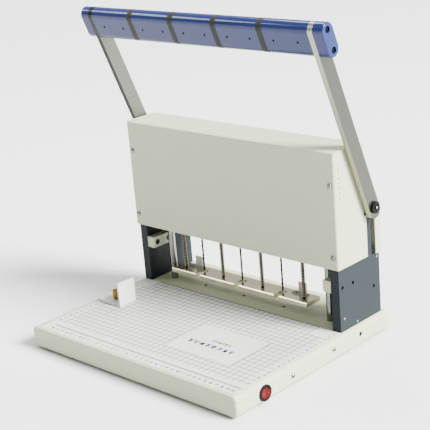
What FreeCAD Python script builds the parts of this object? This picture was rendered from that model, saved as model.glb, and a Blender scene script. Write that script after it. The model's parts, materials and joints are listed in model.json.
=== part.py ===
import FreeCAD, Part
import math
import os

import Sketcher

# A table-top three-hole paper drill: a low folded base with a printed work mat, two
# folded columns carrying a lever shaft, and a head that the lever drives down two
# guide rods. Three twist drills hang under the head and a sprung clamp bar goes
# ahead of them. X is to the right, Y to the back, Z up, in millimetres, with the
# origin at the middle of the base on the resting plane. Cutting shapes run 1 mm past
# the faces they open, so that a +1 or -1 in a length below is that overrun.

DIMENSIONS = (
    # base
    ("base_length", 409.0), ("base_depth", 332.0), ("base_low", 3.0), ("table_top", 34.5),
    ("bottom_screw_in", 4.0), ("bottom_screw_row_in", 20.0), ("bottom_screw_low", 0.5), ("bottom_head_radius", 3.0),
    ("sheet", 1.5), ("base_round", 8.0), ("edge_round", 3.5), ("inner_edge_round", 2.0),
    ("floor_open_length", 340.0), ("floor_open_depth", 270.0), ("floor_lap", 8.0),
    ("foot_x", 188.0), ("foot_y", 150.0), ("foot_radius", 8.0), ("mat_thick", 0.3),
    ("mat_left", 189.0), ("mat_right", 197.0), ("mat_front", 161.0), ("mat_back", 62.0),
    ("side_hole_y", 98.0), ("side_hole_z", 21.6), ("side_hole_radius", 3.6),
    ("side_screw_a_y", 53.3), ("side_screw_a_z", 18.8), ("side_screw_b_y", 36.1), ("side_screw_b_z", 22.2),
    ("side_head_radius", 4.0), ("side_head_tall", 2.4), ("side_shank_radius", 2.0), ("side_shank_long", 5.0),
    # drills and their drive
    ("drill_pitch", 80.0), ("drill_middle", 11.5), ("drill_y", 93.0), ("drill_radius", 1.6),
    ("drill_tip_z", 59.0), ("drill_top_z", 146.0), ("drill_point", 1.0), ("drill_chisel", 0.1),
    ("table_hole_radius", 3.0), ("die_long", 230.0), ("die_wide", 24.0), ("die_tall", 6.0),
    ("chuck_low", 133.0), ("chuck_top", 152.0), ("chuck_radius", 9.0), ("chuck_nose", 5.0),
    ("chuck_nose_radius", 6.0),
    ("spindle_radius", 5.0), ("spindle_top", 208.0), ("bearing_radius", 11.0), ("running_gap", 0.05),
    ("gear_low", 184.5), ("gear_tall", 8.0), ("gear_module", 1.0), ("gear_teeth", 40.0),
    ("pinion_teeth", 16.0), ("motor_shaft_radius", 3.0), ("motor_shaft_low", 182.0), ("motor_shaft_top", 214.0),
    ("axle_radius", 4.0), ("axle_low", 184.0), ("axle_head_radius", 6.5), ("axle_head_tall", 2.5),
    ("motor_radius", 23.0), ("motor_tall", 76.0), ("motor_offset", 28.0), ("motor_cap_radius", 14.0),
    ("motor_cap_tall", 6.0),
    # head plates
    ("plate_front", 66.0), ("plate_back", 121.5), ("lower_half", 180.0), ("lower_low", 154.5),
    ("plate_thick", 8.0), ("upper_half", 168.0), ("upper_low", 198.5),
    ("back_thick", 4.0), ("back_low", 106.0), ("back_high", 288.0), ("back_neck_low", 176.0),
    ("back_neck_high", 256.0), ("back_neck_half", 167.0), ("back_wide_half", 199.5),
    ("ledge_tall", 6.0), ("ledge_deep", 14.5), ("ledge_half", 75.0),
    ("pillar_x", 140.0), ("pillar_front", 72.0), ("pillar_back", 114.0), ("pillar_radius", 5.0),
    ("rod_x", 157.5), ("rod_y", 91.0), ("rod_radius", 5.5), ("rod_low", 20.0), ("rod_top", 248.0),
    ("anchor_half", 15.0), ("anchor_tall", 10.0), ("bush_radius", 9.0), ("bush_over", 4.0),
    ("stop_x", 174.5), ("stop_y", 83.0), ("stop_radius", 4.0), ("stop_low", 136.3), ("stop_head_radius", 5.5),
    ("stop_head_tall", 4.0),
    # columns and what is fixed to them
    ("column_out", 197.5), ("column_in", 183.0), ("column_front", 63.0), ("column_back", 158.0),
    ("column_step", 126.5), ("column_neck", 141.0), ("column_high", 219.5), ("column_sheet", 3.0),
    ("mark_a_y", 70.6), ("mark_b_y", 94.8), ("mark_z", 100.0), ("mark_radius", 2.7),
    ("mark_c_y", 142.6), ("mark_c_z", 78.4), ("column_screw_radius", 1.8), ("column_screw_tall", 0.6),
    ("column_screw_a_y", 72.0), ("column_screw_a_z", 53.1), ("column_screw_b_y", 152.0),
    ("column_screw_b_z", 120.7), ("column_screw_c_y", 101.0), ("column_screw_c_z", 39.0),
    ("column_shank_radius", 1.0), ("column_shank_long", 5.0),
    ("block_in", 169.0), ("block_front", 63.0), ("block_back", 103.0), ("block_low", 91.5), ("block_top", 108.5),
    ("block_head_radius", 4.7), ("block_head_deep", 5.0), ("block_shank_radius", 2.2), ("block_shank_end", 191.0),
    ("block_hex_radius", 2.5), ("block_hex_deep", 2.5),
    ("cover_out", 200.0), ("cover_front", 147.8), ("cover_back", 162.0), ("cover_top", 199.5), ("cover_lip", 4.5),
    ("cover_floor_front", 149.0), ("cover_screw_x", 190.0), ("cover_screw_y", 154.0),
    ("cover_head_radius", 3.5), ("cover_head_tall", 2.0), ("cover_shank_radius", 1.5), ("cover_shank_long", 4.0),
    ("tie_front", 129.0), ("tie_back", 141.0), ("tie_low", 160.0), ("tie_top", 172.0),
    ("return_x", 60.0), ("return_y", 134.0), ("return_radius", 4.4), ("return_wire", 0.7), ("return_pitch", 2.4),
    # lever
    ("pivot_y", 131.5), ("pivot_z", 202.5), ("lever_lean", 21.6), ("shaft_radius", 5.5),
    ("collar_in", 199.1), ("collar_radius", 7.0), ("arm_in", 204.0), ("arm_out", 212.0), ("arm_half", 11.4),
    ("arm_low", 17.0), ("arm_chamfer", 6.5), ("arm_top", 284.1), ("grip_centre", 271.0), ("grip_half", 13.1),
    ("grip_end", 228.5), ("band_half", 5.0), ("band_deep", 1.2), ("band_near", 41.0), ("band_far", 123.0),
    ("dimple_off", 20.3), ("section_pitch", 81.7), ("dimple_radius", 1.8), ("dimple_deep", 7.0),
    ("grip_edge_round", 1.5), ("grip_screw_off", 15.0), ("grip_screw_radius", 4.6), ("grip_screw_deep", 6.0),
    ("grip_head_radius", 4.0), ("grip_head_tall", 4.0), ("grip_shank_radius", 2.5), ("grip_shank_end", 190.0),
    ("cap_radius", 8.5), ("cap_tall", 3.5), ("cap_nub_radius", 2.5), ("cap_nub_tall", 1.0),
    ("bush_out", 199.0), ("shaft_bush_radius", 7.5), ("shaft_flange_radius", 10.0),
    ("wheel_in", 170.0), ("wheel_out", 178.0), ("wheel_hub_out", 182.0), ("wheel_hub_radius", 10.0),
    ("rack_module", 1.5), ("wheel_teeth", 30.0), ("rack_front", 98.0), ("rack_top", 250.0),
    ("rack_below", 3.0), ("rack_above", 9.0), ("tooth_play", 0.03), ("pressure_angle", 20.0), ("tooth_foot", 1.25),
    # hood
    ("hood_half", 201.0), ("hood_front", 59.0), ("hood_back", 127.0), ("hood_low", 129.0), ("hood_top", 296.5),
    ("hood_corner", 3.0), ("hood_back_round", 8.0), ("hood_inner_round", 6.5), ("hood_strip_low", 256.0),
    ("notch_front", 122.0), ("notch_low", 190.0), ("notch_top", 244.0),
    ("hood_screw_x", 193.0), ("hood_screw_low", 147.0), ("hood_screw_high", 250.5), ("hood_nut_radius", 4.0),
    ("hood_nut_thick", 1.5), ("hood_washer_radius", 4.6), ("hood_washer_thick", 0.8), ("hood_head_radius", 3.5),
    ("hood_head_tall", 2.2), ("hood_shank_radius", 2.0), ("hood_shank_long", 3.0),
    ("rear_screw_near", 60.0), ("rear_screw_far", 186.0), ("rear_screw_z", 276.0),
    # clamp bar
    ("clamp_half", 137.0), ("clamp_front", 77.0), ("clamp_back", 109.0), ("clamp_low", 51.5), ("clamp_top", 58.0),
    ("clamp_chamfer", 1.0), ("slot_wide", 10.0), ("slot_radius", 6.25), ("clamp_rod_near", 40.0),
    ("clamp_rod_far", 120.0), ("clamp_rod_radius", 2.0), ("clamp_collar_radius", 4.5), ("clamp_collar_tall", 3.5),
    ("clamp_spring_radius", 2.7), ("clamp_spring_wire", 0.55), ("clamp_spring_pitch", 2.5),
    ("lug_left", 103.0), ("lug_right_start", 106.0), ("lug_wide", 14.5), ("lug_thick", 2.0), ("lug_tall", 20.0),
    ("lug_front", 98.0), ("lug_foot_front", 97.0), ("lug_foot_back", 105.0), ("lug_foot_long", 12.5),
    ("lug_screw_off", 7.0), ("lug_screw_y", 101.0), ("lug_head_radius", 2.7), ("lug_head_tall", 1.8),
    ("lug_shank_radius", 1.5), ("lug_shank_long", 5.0),
    # switch, inlet, paper gauge
    ("switch_y", 110.6), ("switch_z", 18.2), ("bezel_radius", 11.5), ("bezel_tall", 2.0),
    ("bezel_body_radius", 10.0), ("bezel_body_long", 20.0), ("rocker_room", 8.0), ("rocker_radius", 7.2), ("rocker_gap", 0.8),
    ("rocker_tilt", 8.0), ("rocker_face", 1.6), ("rocker_deep", 4.0), ("rocker_pin_radius", 1.5),
    ("rocker_pin_in", 2.0), ("rocker_pin_gap", 0.2), ("rocker_rib", 0.2), ("inlet_earth_up", 1.5),
    ("inlet_x", 140.0), ("inlet_half", 15.5), ("inlet_low", 6.8), ("inlet_high", 30.6), ("inlet_flange", 2.5),
    ("inlet_body_half", 13.5), ("inlet_body_low", 8.8), ("inlet_body_high", 28.6), ("inlet_body_long", 20.0),
    ("inlet_room_half", 12.0), ("inlet_room_low", 10.8), ("inlet_room_high", 26.6), ("inlet_room_deep", 17.0),
    ("inlet_pin_off", 7.0), ("inlet_pin_half", 1.0), ("inlet_pin_tall", 4.0), ("inlet_pin_long", 12.0),
    ("gauge_left", 193.0), ("gauge_right", 141.5), ("gauge_front", 44.7), ("gauge_back", 12.0), ("gauge_base", 3.0),
    ("gauge_wall", 3.0), ("gauge_tall", 38.0), ("knob_x", 166.5), ("knob_y", 29.0), ("knob_radius", 5.4),
    ("knob_low", 40.0), ("knob_top", 53.5), ("knob_neck", 3.6), ("knob_ribs", 24.0), ("knob_groove", 0.35),
    ("stud_radius", 2.0),
    ("stud_low", 27.0), ("nut_half", 5.0), ("nut_low", 28.5), ("nut_tall", 4.4), ("gauge_slot_left", 173.5),
    ("gauge_slot_right", 151.5), ("gauge_slot_half", 2.6),
)

doc = FreeCAD.newDocument("paper_drill")
sheet = doc.addObject("Spreadsheet::Sheet", "Dimensions")
for row, (alias, value) in enumerate(DIMENSIONS, start=1):
    sheet.set(f"A{row}", alias)
    sheet.set(f"B{row}", str(value))
    sheet.setAlias(f"B{row}", alias)
doc.recompute()


class Size:
    """A length known both as a number and as an expression on the sheet."""

    def __init__(self, text, value):
        self.text = text
        self.value = value

    def __add__(self, other):
        other = size(other)
        return Size(f"({self.text} + {other.text})", self.value + other.value)

    def __radd__(self, other):
        return size(other) + self

    def __sub__(self, other):
        other = size(other)
        return Size(f"({self.text} - {other.text})", self.value - other.value)

    def __rsub__(self, other):
        return size(other) - self

    def __mul__(self, other):
        other = size(other)
        return Size(f"({self.text} * {other.text})", self.value * other.value)

    def __rmul__(self, other):
        return size(other) * self

    def __truediv__(self, other):
        other = size(other)
        return Size(f"({self.text} / {other.text})", self.value / other.value)

    def __neg__(self):
        return Size(f"(0 - {self.text})", -self.value)


def size(number):
    return number if isinstance(number, Size) else Size(repr(float(number)), float(number))


class Sizes:
    """Every dimension by its name."""

    def __init__(self, rows):
        for name, value in rows:
            setattr(self, name, Size(f"Dimensions.{name}", value))


D = Sizes(DIMENSIONS)
SIDES = (-1, 1)
TURNS = {
    "x": FreeCAD.Rotation(FreeCAD.Vector(0, 1, 0), 90),
    "y": FreeCAD.Rotation(FreeCAD.Vector(1, 0, 0), -90),
    "z": FreeCAD.Rotation(),
}
NODES = []


def bind(item, path, amount):
    item.setExpression(path, size(amount).text)


def place(item, x, y, z):
    for key, amount in zip("xyz", (x, y, z)):
        bind(item, f"Placement.Base.{key}", amount)


def span(side, near, far):
    """The range from near to far on one side of the middle, low end first."""
    return (near, far) if side > 0 else (-size(far), -size(near))


def block(name, x_range, y_range, z_range):
    item = doc.addObject("Part::Box", name)
    for key, (low, high) in zip(("Length", "Width", "Height"), (x_range, y_range, z_range)):
        bind(item, key, size(high) - size(low))
    place(item, x_range[0], y_range[0], z_range[0])
    return item


def pin(name, axis, reach, across, radius):
    """A cylinder along one axis over a range, at the two other coordinates in X, Y, Z order."""
    item = doc.addObject("Part::Cylinder", name)
    item.Placement = FreeCAD.Placement(FreeCAD.Vector(), TURNS[axis])
    bind(item, "Radius", radius)
    bind(item, "Height", size(reach[1]) - size(reach[0]))
    first, second = across
    spots = {"x": (reach[0], first, second), "y": (first, reach[0], second), "z": (first, second, reach[0])}
    place(item, *spots[axis])
    return item


def cone(name, reach, across, low_radius, high_radius):
    """An upright cone over a range of Z."""
    item = doc.addObject("Part::Cone", name)
    bind(item, "Radius1", low_radius)
    bind(item, "Radius2", high_radius)
    bind(item, "Height", size(reach[1]) - size(reach[0]))
    place(item, across[0], across[1], reach[0])
    return item


def join(name, pieces):
    item = doc.addObject("Part::MultiFuse", name)
    item.Shapes = pieces
    item.Refine = True
    return item


def carve(name, body, tools):
    item = doc.addObject("Part::Cut", name)
    item.Base = body
    item.Tool = tools[0] if len(tools) == 1 else join(name + "_tools", tools)
    item.Refine = True
    return item


def bundle(name, pieces):
    item = doc.addObject("Part::Compound", name)
    item.Links = pieces
    return item


def node(label, item):
    item.Label = label
    NODES.append(item)
    return item


def rounded(name, item, radius, wanted):
    """The item with the edges picked by their two end points rounded."""
    doc.recompute()
    chosen = []
    for number, edge in enumerate(item.Shape.Edges, start=1):
        ends = [vertex.Point for vertex in edge.Vertexes]
        if len(ends) == 2 and wanted(ends[0], ends[1]):
            chosen.append((number, radius.value, radius.value))
    result = doc.addObject("Part::Fillet", name)
    result.Base = item
    result.Edges = chosen
    return result


def along(axis):
    """True for an edge that runs along one axis."""
    others = [number for number in range(3) if number != "xyz".index(axis)]
    return lambda a, b: all(abs(a[number] - b[number]) < 1e-6 for number in others)


def at_level(axis, level):
    """True for an edge that lies in one plane."""
    number = "xyz".index(axis)
    return lambda a, b: all(abs(end[number] - level) < 1e-6 for end in (a, b))


def origin_plane(body, role):
    return next(item for item in body.Origin.OriginFeatures if item.Role == role)


def sketch_on(body, name, role, offset):
    drawing = body.newObject("Sketcher::SketchObject", name)
    drawing.AttachmentSupport = [(origin_plane(body, role), "")]
    drawing.MapMode = "FlatFace"
    bind(drawing, "AttachmentOffset.Base.z", offset)
    return drawing


def fix_point(drawing, piece, corner, spot):
    """Ties one sketch point to its two coordinates."""
    for kind, amount in zip(("DistanceX", "DistanceY"), spot):
        amount = size(amount)
        number = drawing.addConstraint(Sketcher.Constraint(kind, -1, 1, piece, corner, amount.value))
        drawing.setExpression(f"Constraints[{number}]", amount.text)


def draw_outline(drawing, corners):
    corners = [(size(first), size(second)) for first, second in corners]
    points = [FreeCAD.Vector(first.value, second.value, 0) for first, second in corners]
    start = drawing.GeometryCount
    count = len(points)
    for number in range(count):
        drawing.addGeometry(Part.LineSegment(points[number], points[(number + 1) % count]), False)
    for number in range(count):
        following = start + (number + 1) % count
        drawing.addConstraint(Sketcher.Constraint("Coincident", start + number, 2, following, 1))
    for number in range(count):
        fix_point(drawing, start + number, 1, corners[number])


def draw_circle(drawing, centre, radius):
    centre = (size(centre[0]), size(centre[1]))
    radius = size(radius)
    middle = FreeCAD.Vector(centre[0].value, centre[1].value, 0)
    number = drawing.addGeometry(Part.Circle(middle, FreeCAD.Vector(0, 0, 1), radius.value), False)
    fix_point(drawing, number, 3, centre)
    limit = drawing.addConstraint(Sketcher.Constraint("Radius", number, radius.value))
    drawing.setExpression(f"Constraints[{limit}]", radius.text)


def square(first_range, second_range):
    """The four corners of a rectangle."""
    (left, right), (low, high) = first_range, second_range
    return [(left, low), (right, low), (right, high), (left, high)]


ROLES = {"x": "YZ_Plane", "y": "XZ_Plane", "z": "XY_Plane"}


def drawn_feature(body, kind, name, axis, reach, outlines, circles):
    """Pads or pockets a sketch over a range along one axis of the body's own frame."""
    low, high = size(reach[0]), size(reach[1])
    from_low = (axis != "y") == (kind == "Pad")
    level = low if from_low else high
    offset = -level if axis == "y" else level
    drawing = sketch_on(body, name + "_sketch", ROLES[axis], offset)
    for outline in outlines:
        draw_outline(drawing, outline)
    for centre, radius in circles:
        draw_circle(drawing, centre, radius)
    doc.recompute()
    feature = body.newObject("PartDesign::" + kind, name)
    feature.Profile = drawing
    bind(feature, "Length", high - low)
    body.Tip = feature
    doc.recompute()
    return feature


def plate(label, axis, reach, outline, circles=(), holes=()):
    """A body padded from an outline with openings drawn inside it."""
    body = doc.addObject("PartDesign::Body", label + "_body")
    drawn_feature(body, "Pad", label + "_pad", axis, reach, [outline, *holes], circles)
    return body


def lean(item):
    """Puts a piece drawn along the lever's own Z onto the leaning lever."""
    item.Placement = FreeCAD.Placement(
        FreeCAD.Vector(), FreeCAD.Rotation(FreeCAD.Vector(1, 0, 0), D.lever_lean.value)
    )
    place(item, 0, D.pivot_y, D.pivot_z)
    return item


def involute(angle):
    return math.tan(angle) - angle


def gear_outline(module, teeth, phase):
    """Corner points of a spur gear in its own plane, a tooth on the first axis at phase 0."""
    pressure = math.radians(D.pressure_angle.value)
    pitch = module * teeth / 2
    base = pitch * math.cos(pressure)
    tip = pitch + module
    root = pitch - D.tooth_foot.value * module
    half = math.pi / (2 * teeth) - D.tooth_play.value / pitch
    steps = 5
    low = max(base, root)
    flank = []
    for number in range(steps + 1):
        radius = low + (tip - low) * number / steps
        wide = half + involute(pressure) - involute(math.acos(base / radius))
        flank.append((radius, wide))
    points = []
    for tooth in range(teeth):
        middle = phase + 2 * math.pi * tooth / teeth
        rising = [(root, flank[0][1])] if root < low else []
        rising += flank
        for radius, wide in rising:
            points.append((radius, middle - wide))
        for radius, wide in reversed(rising):
            points.append((radius, middle + wide))
    return [(radius * math.cos(angle), radius * math.sin(angle)) for radius, angle in points]


def extruded(name, points, push):
    """A part made by pushing a closed outline of 3-D points."""
    face = Part.Face(Part.makePolygon([*points, points[0]]))
    item = doc.addObject("Part::Feature", name)
    item.Shape = face.extrude(push)
    return item


def flat_gear(name, module, teeth, phase, low, tall, centre):
    points = [FreeCAD.Vector(x, y, 0) for x, y in gear_outline(module.value, int(teeth.value), phase)]
    item = extruded(name, points, FreeCAD.Vector(0, 0, tall.value))
    place(item, centre[0], centre[1], low)
    return item


def coil(name, radius, wire, pitch, low, high, centre):
    """An open spring on an upright axis between two levels."""
    tall = high.value - low.value - 2 * wire.value
    helix = Part.makeHelix(pitch.value, tall, radius.value)
    profile = Part.Wire(Part.makeCircle(wire.value, FreeCAD.Vector(radius.value, 0, 0), FreeCAD.Vector(0, 1, 0)))
    solid = Part.Wire(helix.Edges).makePipeShell([profile], True, True)
    item = doc.addObject("Part::Feature", name)
    item.Shape = solid
    place(item, centre[0], centre[1], low + wire)
    return item


# ---- base pan -----------------------------------------------------------------------
half_length = D.base_length / 2
half_depth = D.base_depth / 2
table_under = D.table_top - D.sheet
drill_spots = [(D.drill_pitch * step - D.drill_middle, D.drill_y) for step in (-1, 0, 1)]
side_screw_spots = [(-D.side_screw_a_y, D.side_screw_a_z), (D.side_screw_b_y, D.side_screw_b_z)]

pan_outer = block("pan_outer", (-half_length, half_length), (-half_depth, half_depth), (D.base_low, D.table_top))
pan_outer = rounded("pan_outer_long", pan_outer, D.base_round, along("y"))
pan_outer = rounded(
    "pan_outer_round", pan_outer, D.edge_round,
    lambda a, b: at_level("y", half_depth.value)(a, b) or at_level("y", -half_depth.value)(a, b),
)
pan_inner = block(
    "pan_inner",
    (D.sheet - half_length, half_length - D.sheet),
    (D.sheet - half_depth, half_depth - D.sheet),
    (D.base_low + D.sheet, table_under),
)
pan_inner = rounded("pan_inner_long", pan_inner, D.base_round - D.sheet, along("y"))
pan_cuts = [
    pan_inner,
    block(
        "pan_floor_opening",
        (-D.floor_open_length / 2, D.floor_open_length / 2),
        (-D.floor_open_depth / 2, D.floor_open_depth / 2),
        (0, D.base_low + D.sheet + 1),
    ),
    pin("switch_opening", "x", (half_length - 5, half_length + 1), (-D.switch_y, D.switch_z), D.bezel_body_radius),
    pin("side_hole", "x", (half_length - 5, half_length + 1), (D.side_hole_y, D.side_hole_z), D.side_hole_radius),
    block(
        "inlet_opening",
        (D.inlet_x - D.inlet_half, D.inlet_x + D.inlet_half),
        (half_depth - 5, half_depth + 1),
        (D.inlet_low, D.inlet_high),
    ),
    block(
        "gauge_slot",
        (-D.gauge_slot_left, -D.gauge_slot_right),
        (-D.knob_y - D.gauge_slot_half, D.gauge_slot_half - D.knob_y),
        (table_under - 1, D.table_top + 1),
    ),
]
for x, y in drill_spots:
    pan_cuts.append(pin("table_hole", "z", (table_under - 1, D.table_top + 1), (x, y), D.table_hole_radius))
for side in SIDES:
    reach = (table_under - 1, D.table_top + 1)
    pan_cuts.append(pin("rod_hole", "z", reach, (side * D.rod_x, D.rod_y), D.rod_radius))
    for spot in side_screw_spots:
        reach = span(side, half_length - 5, half_length + 1)
        pan_cuts.append(pin("side_screw_hole", "x", reach, spot, D.side_shank_radius))
node("base_pan", carve("pan_cut", pan_outer, pan_cuts))

plate_half_length = D.floor_open_length / 2 + D.floor_lap
plate_half_depth = D.floor_open_depth / 2 + D.floor_lap
bottom_screw_spots = [
    (side * (plate_half_length - D.bottom_screw_in), row * (plate_half_depth - D.bottom_screw_row_in))
    for side in SIDES for row in (-1, 0, 1)
]
node("bottom_plate", plate(
    "bottom_plate", "z", (D.base_low - D.sheet, D.base_low),
    square((-plate_half_length, plate_half_length), (-plate_half_depth, plate_half_depth)),
    circles=[(spot, D.cover_shank_radius) for spot in bottom_screw_spots],
))
bottom_screws = []
for x, y in bottom_screw_spots:
    head = pin("bottom_head", "z", (D.bottom_screw_low, D.base_low - D.sheet), (x, y), D.bottom_head_radius)
    shank = pin("bottom_shank", "z", (D.base_low - D.sheet, D.base_low), (x, y), D.cover_shank_radius)
    bottom_screws.append(join("bottom_screw", [head, shank]))
node("bottom_screws", bundle("bottom_screws_all", bottom_screws))

feet = []
for side in SIDES:
    for row in SIDES:
        feet.append(pin("foot", "z", (0, D.base_low), (side * D.foot_x, row * D.foot_y), D.foot_radius))
node("rubber_feet", bundle("feet_all", feet))

node("table_mat", plate(
    "table_mat", "z", (D.table_top, D.table_top + D.mat_thick),
    square((-D.mat_left, D.mat_right), (-D.mat_front, D.mat_back)),
    holes=[square(
        (-D.gauge_slot_left, -D.gauge_slot_right), (-D.knob_y - D.gauge_slot_half, D.gauge_slot_half - D.knob_y)
    )],
))

die = plate(
    "die_strip", "z", (table_under - D.die_tall, table_under),
    square(
        (-D.drill_middle - D.die_long / 2, D.die_long / 2 - D.drill_middle),
        (D.drill_y - D.die_wide / 2, D.drill_y + D.die_wide / 2),
    ),
    circles=[(spot, D.table_hole_radius) for spot in drill_spots],
)
node("die_strip", die)

side_screws = []
for side in SIDES:
    for spot in side_screw_spots:
        ball = doc.addObject("Part::Sphere", "side_head")
        bind(ball, "Radius", D.side_head_radius)
        place(ball, side * (half_length + D.side_head_tall - D.side_head_radius), *spot)
        inside = block(
            "side_head_trim", span(side, half_length - 8, half_length),
            (spot[0] - 5, spot[0] + 5), (spot[1] - 5, spot[1] + 5),
        )
        dome = carve("side_dome", ball, [inside])
        shank = pin(
            "side_shank", "x", span(side, half_length - D.side_shank_long, half_length + 1), spot, D.side_shank_radius
        )
        side_screws.append(join("side_screw", [dome, shank]))
node("side_screws", bundle("side_screws_all", side_screws))

# ---- switch and inlet ---------------------------------------------------------------
face = half_length
switch_spot = (-D.switch_y, D.switch_z)
bezel = join("bezel_solid", [
    pin("bezel_ring", "x", (face, face + D.bezel_tall), switch_spot, D.bezel_radius),
    pin("bezel_body", "x", (face - D.bezel_body_long, face), switch_spot, D.bezel_body_radius),
])
bezel_room = pin(
    "bezel_room", "x", (face - D.rocker_room, face + D.bezel_tall + 1), switch_spot, D.rocker_radius + D.rocker_gap
)
node("switch_bezel", carve("bezel_cut", bezel, [bezel_room]))

rocker_front = face + D.bezel_tall + D.rocker_face
rocker_disc = pin("rocker_disc", "x", (face - D.rocker_deep, rocker_front), switch_spot, D.rocker_radius)
rocker_trims = []
for side in SIDES:
    trim = doc.addObject("Part::Box", "rocker_trim")
    turn = FreeCAD.Rotation(FreeCAD.Vector(0, 0, 1), -side * D.rocker_tilt.value)
    bind(trim, "Length", D.bezel_radius)
    bind(trim, "Width", 2 * D.bezel_radius)
    bind(trim, "Height", 2 * D.bezel_radius)
    corner = turn.multVec(FreeCAD.Vector(0, (side - 1) * D.bezel_radius.value, 0))
    trim.Placement = FreeCAD.Placement(FreeCAD.Vector(), turn)
    place(trim, face + D.bezel_tall - D.rocker_rib + corner.x, corner.y - D.switch_y, D.switch_z - D.bezel_radius)
    rocker_trims.append(trim)
pin_reach = D.rocker_radius + D.rocker_gap - D.rocker_pin_gap
rocker_pin = pin(
    "rocker_pin", "z",
    (D.switch_z - pin_reach, D.switch_z + pin_reach), (face - D.rocker_pin_in, -D.switch_y), D.rocker_pin_radius,
)
rocker_face = carve("rocker_face_cut", rocker_disc, rocker_trims)
rocker = join("rocker_all", [rocker_face, rocker_pin])
rocker.Placement = FreeCAD.Placement(
    FreeCAD.Vector(),
    FreeCAD.Rotation(FreeCAD.Vector(0, 0, 1), -D.rocker_tilt.value),
    FreeCAD.Vector(face.value - D.rocker_pin_in.value, -D.switch_y.value, 0),
)
node("switch_rocker", rocker)

inlet_shell = join("inlet_solid", [
    block(
        "inlet_flange", (D.inlet_x - D.inlet_half, D.inlet_x + D.inlet_half),
        (half_depth - D.inlet_flange, half_depth), (D.inlet_low, D.inlet_high),
    ),
    block(
        "inlet_body", (D.inlet_x - D.inlet_body_half, D.inlet_x + D.inlet_body_half),
        (half_depth - D.inlet_body_long, half_depth - D.inlet_flange), (D.inlet_body_low, D.inlet_body_high),
    ),
])
inlet_room = block(
    "inlet_room", (D.inlet_x - D.inlet_room_half, D.inlet_x + D.inlet_room_half),
    (half_depth - D.inlet_room_deep, half_depth + 1), (D.inlet_room_low, D.inlet_room_high),
)
inlet_pins = []
for step in (-1, 0, 1):
    middle = D.inlet_x + step * D.inlet_pin_off
    floor = half_depth - D.inlet_room_deep
    height = (D.inlet_room_low + D.inlet_room_high) / 2 + (1 if step == 0 else -1) * D.inlet_earth_up
    inlet_pins.append(block(
        "inlet_pin", (middle - D.inlet_pin_half, middle + D.inlet_pin_half),
        (floor - 1, floor + D.inlet_pin_long), (height - D.inlet_pin_tall / 2, height + D.inlet_pin_tall / 2),
    ))
node("power_inlet", join("inlet_all", [carve("inlet_cut", inlet_shell, [inlet_room]), *inlet_pins]))

# ---- columns ------------------------------------------------------------------------
pivot = (D.pivot_y, D.pivot_z)
wall = D.column_sheet
column_marks = [(D.mark_a_y, D.mark_z), (D.mark_b_y, D.mark_z), (D.mark_c_y, D.mark_c_z)]
column_screw_spots = [
    (D.column_screw_a_y, D.column_screw_a_z),
    (D.column_screw_b_y, D.column_screw_b_z),
    (D.column_screw_c_y, D.column_screw_c_z),
]
for side, word in zip(SIDES, ("left", "right")):
    label = "column_" + word
    body = plate(label, "x", span(side, D.column_in, D.column_out), [
        (D.column_front, D.table_top), (D.column_back, D.table_top), (D.column_back, D.column_step),
        (D.column_neck, D.column_step), (D.column_neck, D.column_high), (D.column_front, D.column_high),
    ])
    drawn_feature(body, "Pocket", label + "_channel", "x", span(side, D.column_in + wall, D.column_out - wall), [[
        (D.column_front + wall, D.table_top + wall), (D.column_back + 1, D.table_top + wall),
        (D.column_back + 1, D.column_step - wall), (D.column_neck - wall, D.column_step - wall),
        (D.column_neck - wall, D.column_step), (D.column_neck + 1, D.column_step),
        (D.column_neck + 1, D.column_high - wall), (D.column_front + wall, D.column_high - wall),
    ]], [])
    drawn_feature(
        body, "Pocket", label + "_bearing_holes", "x", span(side, D.column_in, D.column_out), [],
        [(pivot, D.shaft_bush_radius)],
    )
    drawn_feature(
        body, "Pocket", label + "_marks", "x", span(side, D.column_out - wall, D.column_out), [],
        [(spot, D.mark_radius) for spot in column_marks]
        + [(spot, D.column_shank_radius) for spot in column_screw_spots],
    )
    drawn_feature(
        body, "Pocket", label + "_block_holes", "x", span(side, D.column_in, D.column_in + wall), [],
        [(spot, D.block_shank_radius) for spot in column_marks[:2]],
    )
    drawn_feature(
        body, "Pocket", label + "_cover_hole", "z", (D.column_step - wall, D.column_step), [],
        [((side * D.cover_screw_x, D.cover_screw_y), D.cover_shank_radius)],
    )
    node(label, body)

column_screws = []
for side in SIDES:
    for spot in column_screw_spots:
        out = D.column_out
        head = pin("column_head", "x", span(side, out, out + D.column_screw_tall), spot, D.column_screw_radius)
        shank = pin("column_shank", "x", span(side, out - D.column_shank_long, out), spot, D.column_shank_radius)
        column_screws.append(join("column_screw", [head, shank]))
node("column_screws", bundle("column_screws_all", column_screws))

blocks = []
block_screws = []
for side in SIDES:
    solid = block(
        "block_solid", span(side, D.block_in, D.column_in), (D.block_front, D.block_back), (D.block_low, D.block_top)
    )
    cuts = []
    for spot in column_marks[:2]:
        inner = D.block_in
        cuts.append(pin("block_sink", "x", span(side, inner, inner + D.block_head_deep), spot, D.block_head_radius))
        cuts.append(pin("block_bore", "x", span(side, inner, D.column_in), spot, D.block_shank_radius))
        head = pin("block_head", "x", span(side, inner, inner + D.block_head_deep), spot, D.block_head_radius)
        shank = pin("block_shank", "x", span(side, inner, D.block_shank_end), spot, D.block_shank_radius)
        socket = pin("block_hex", "x", span(side, inner, inner + D.block_hex_deep), spot, D.block_hex_radius)
        block_screws.append(carve("block_screw", join("block_screw_solid", [head, shank]), [socket]))
    blocks.append(carve("stop_block", solid, cuts))
node("stop_blocks", bundle("stop_blocks_all", blocks))
node("stop_block_screws", bundle("block_screws_all", block_screws))

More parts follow.
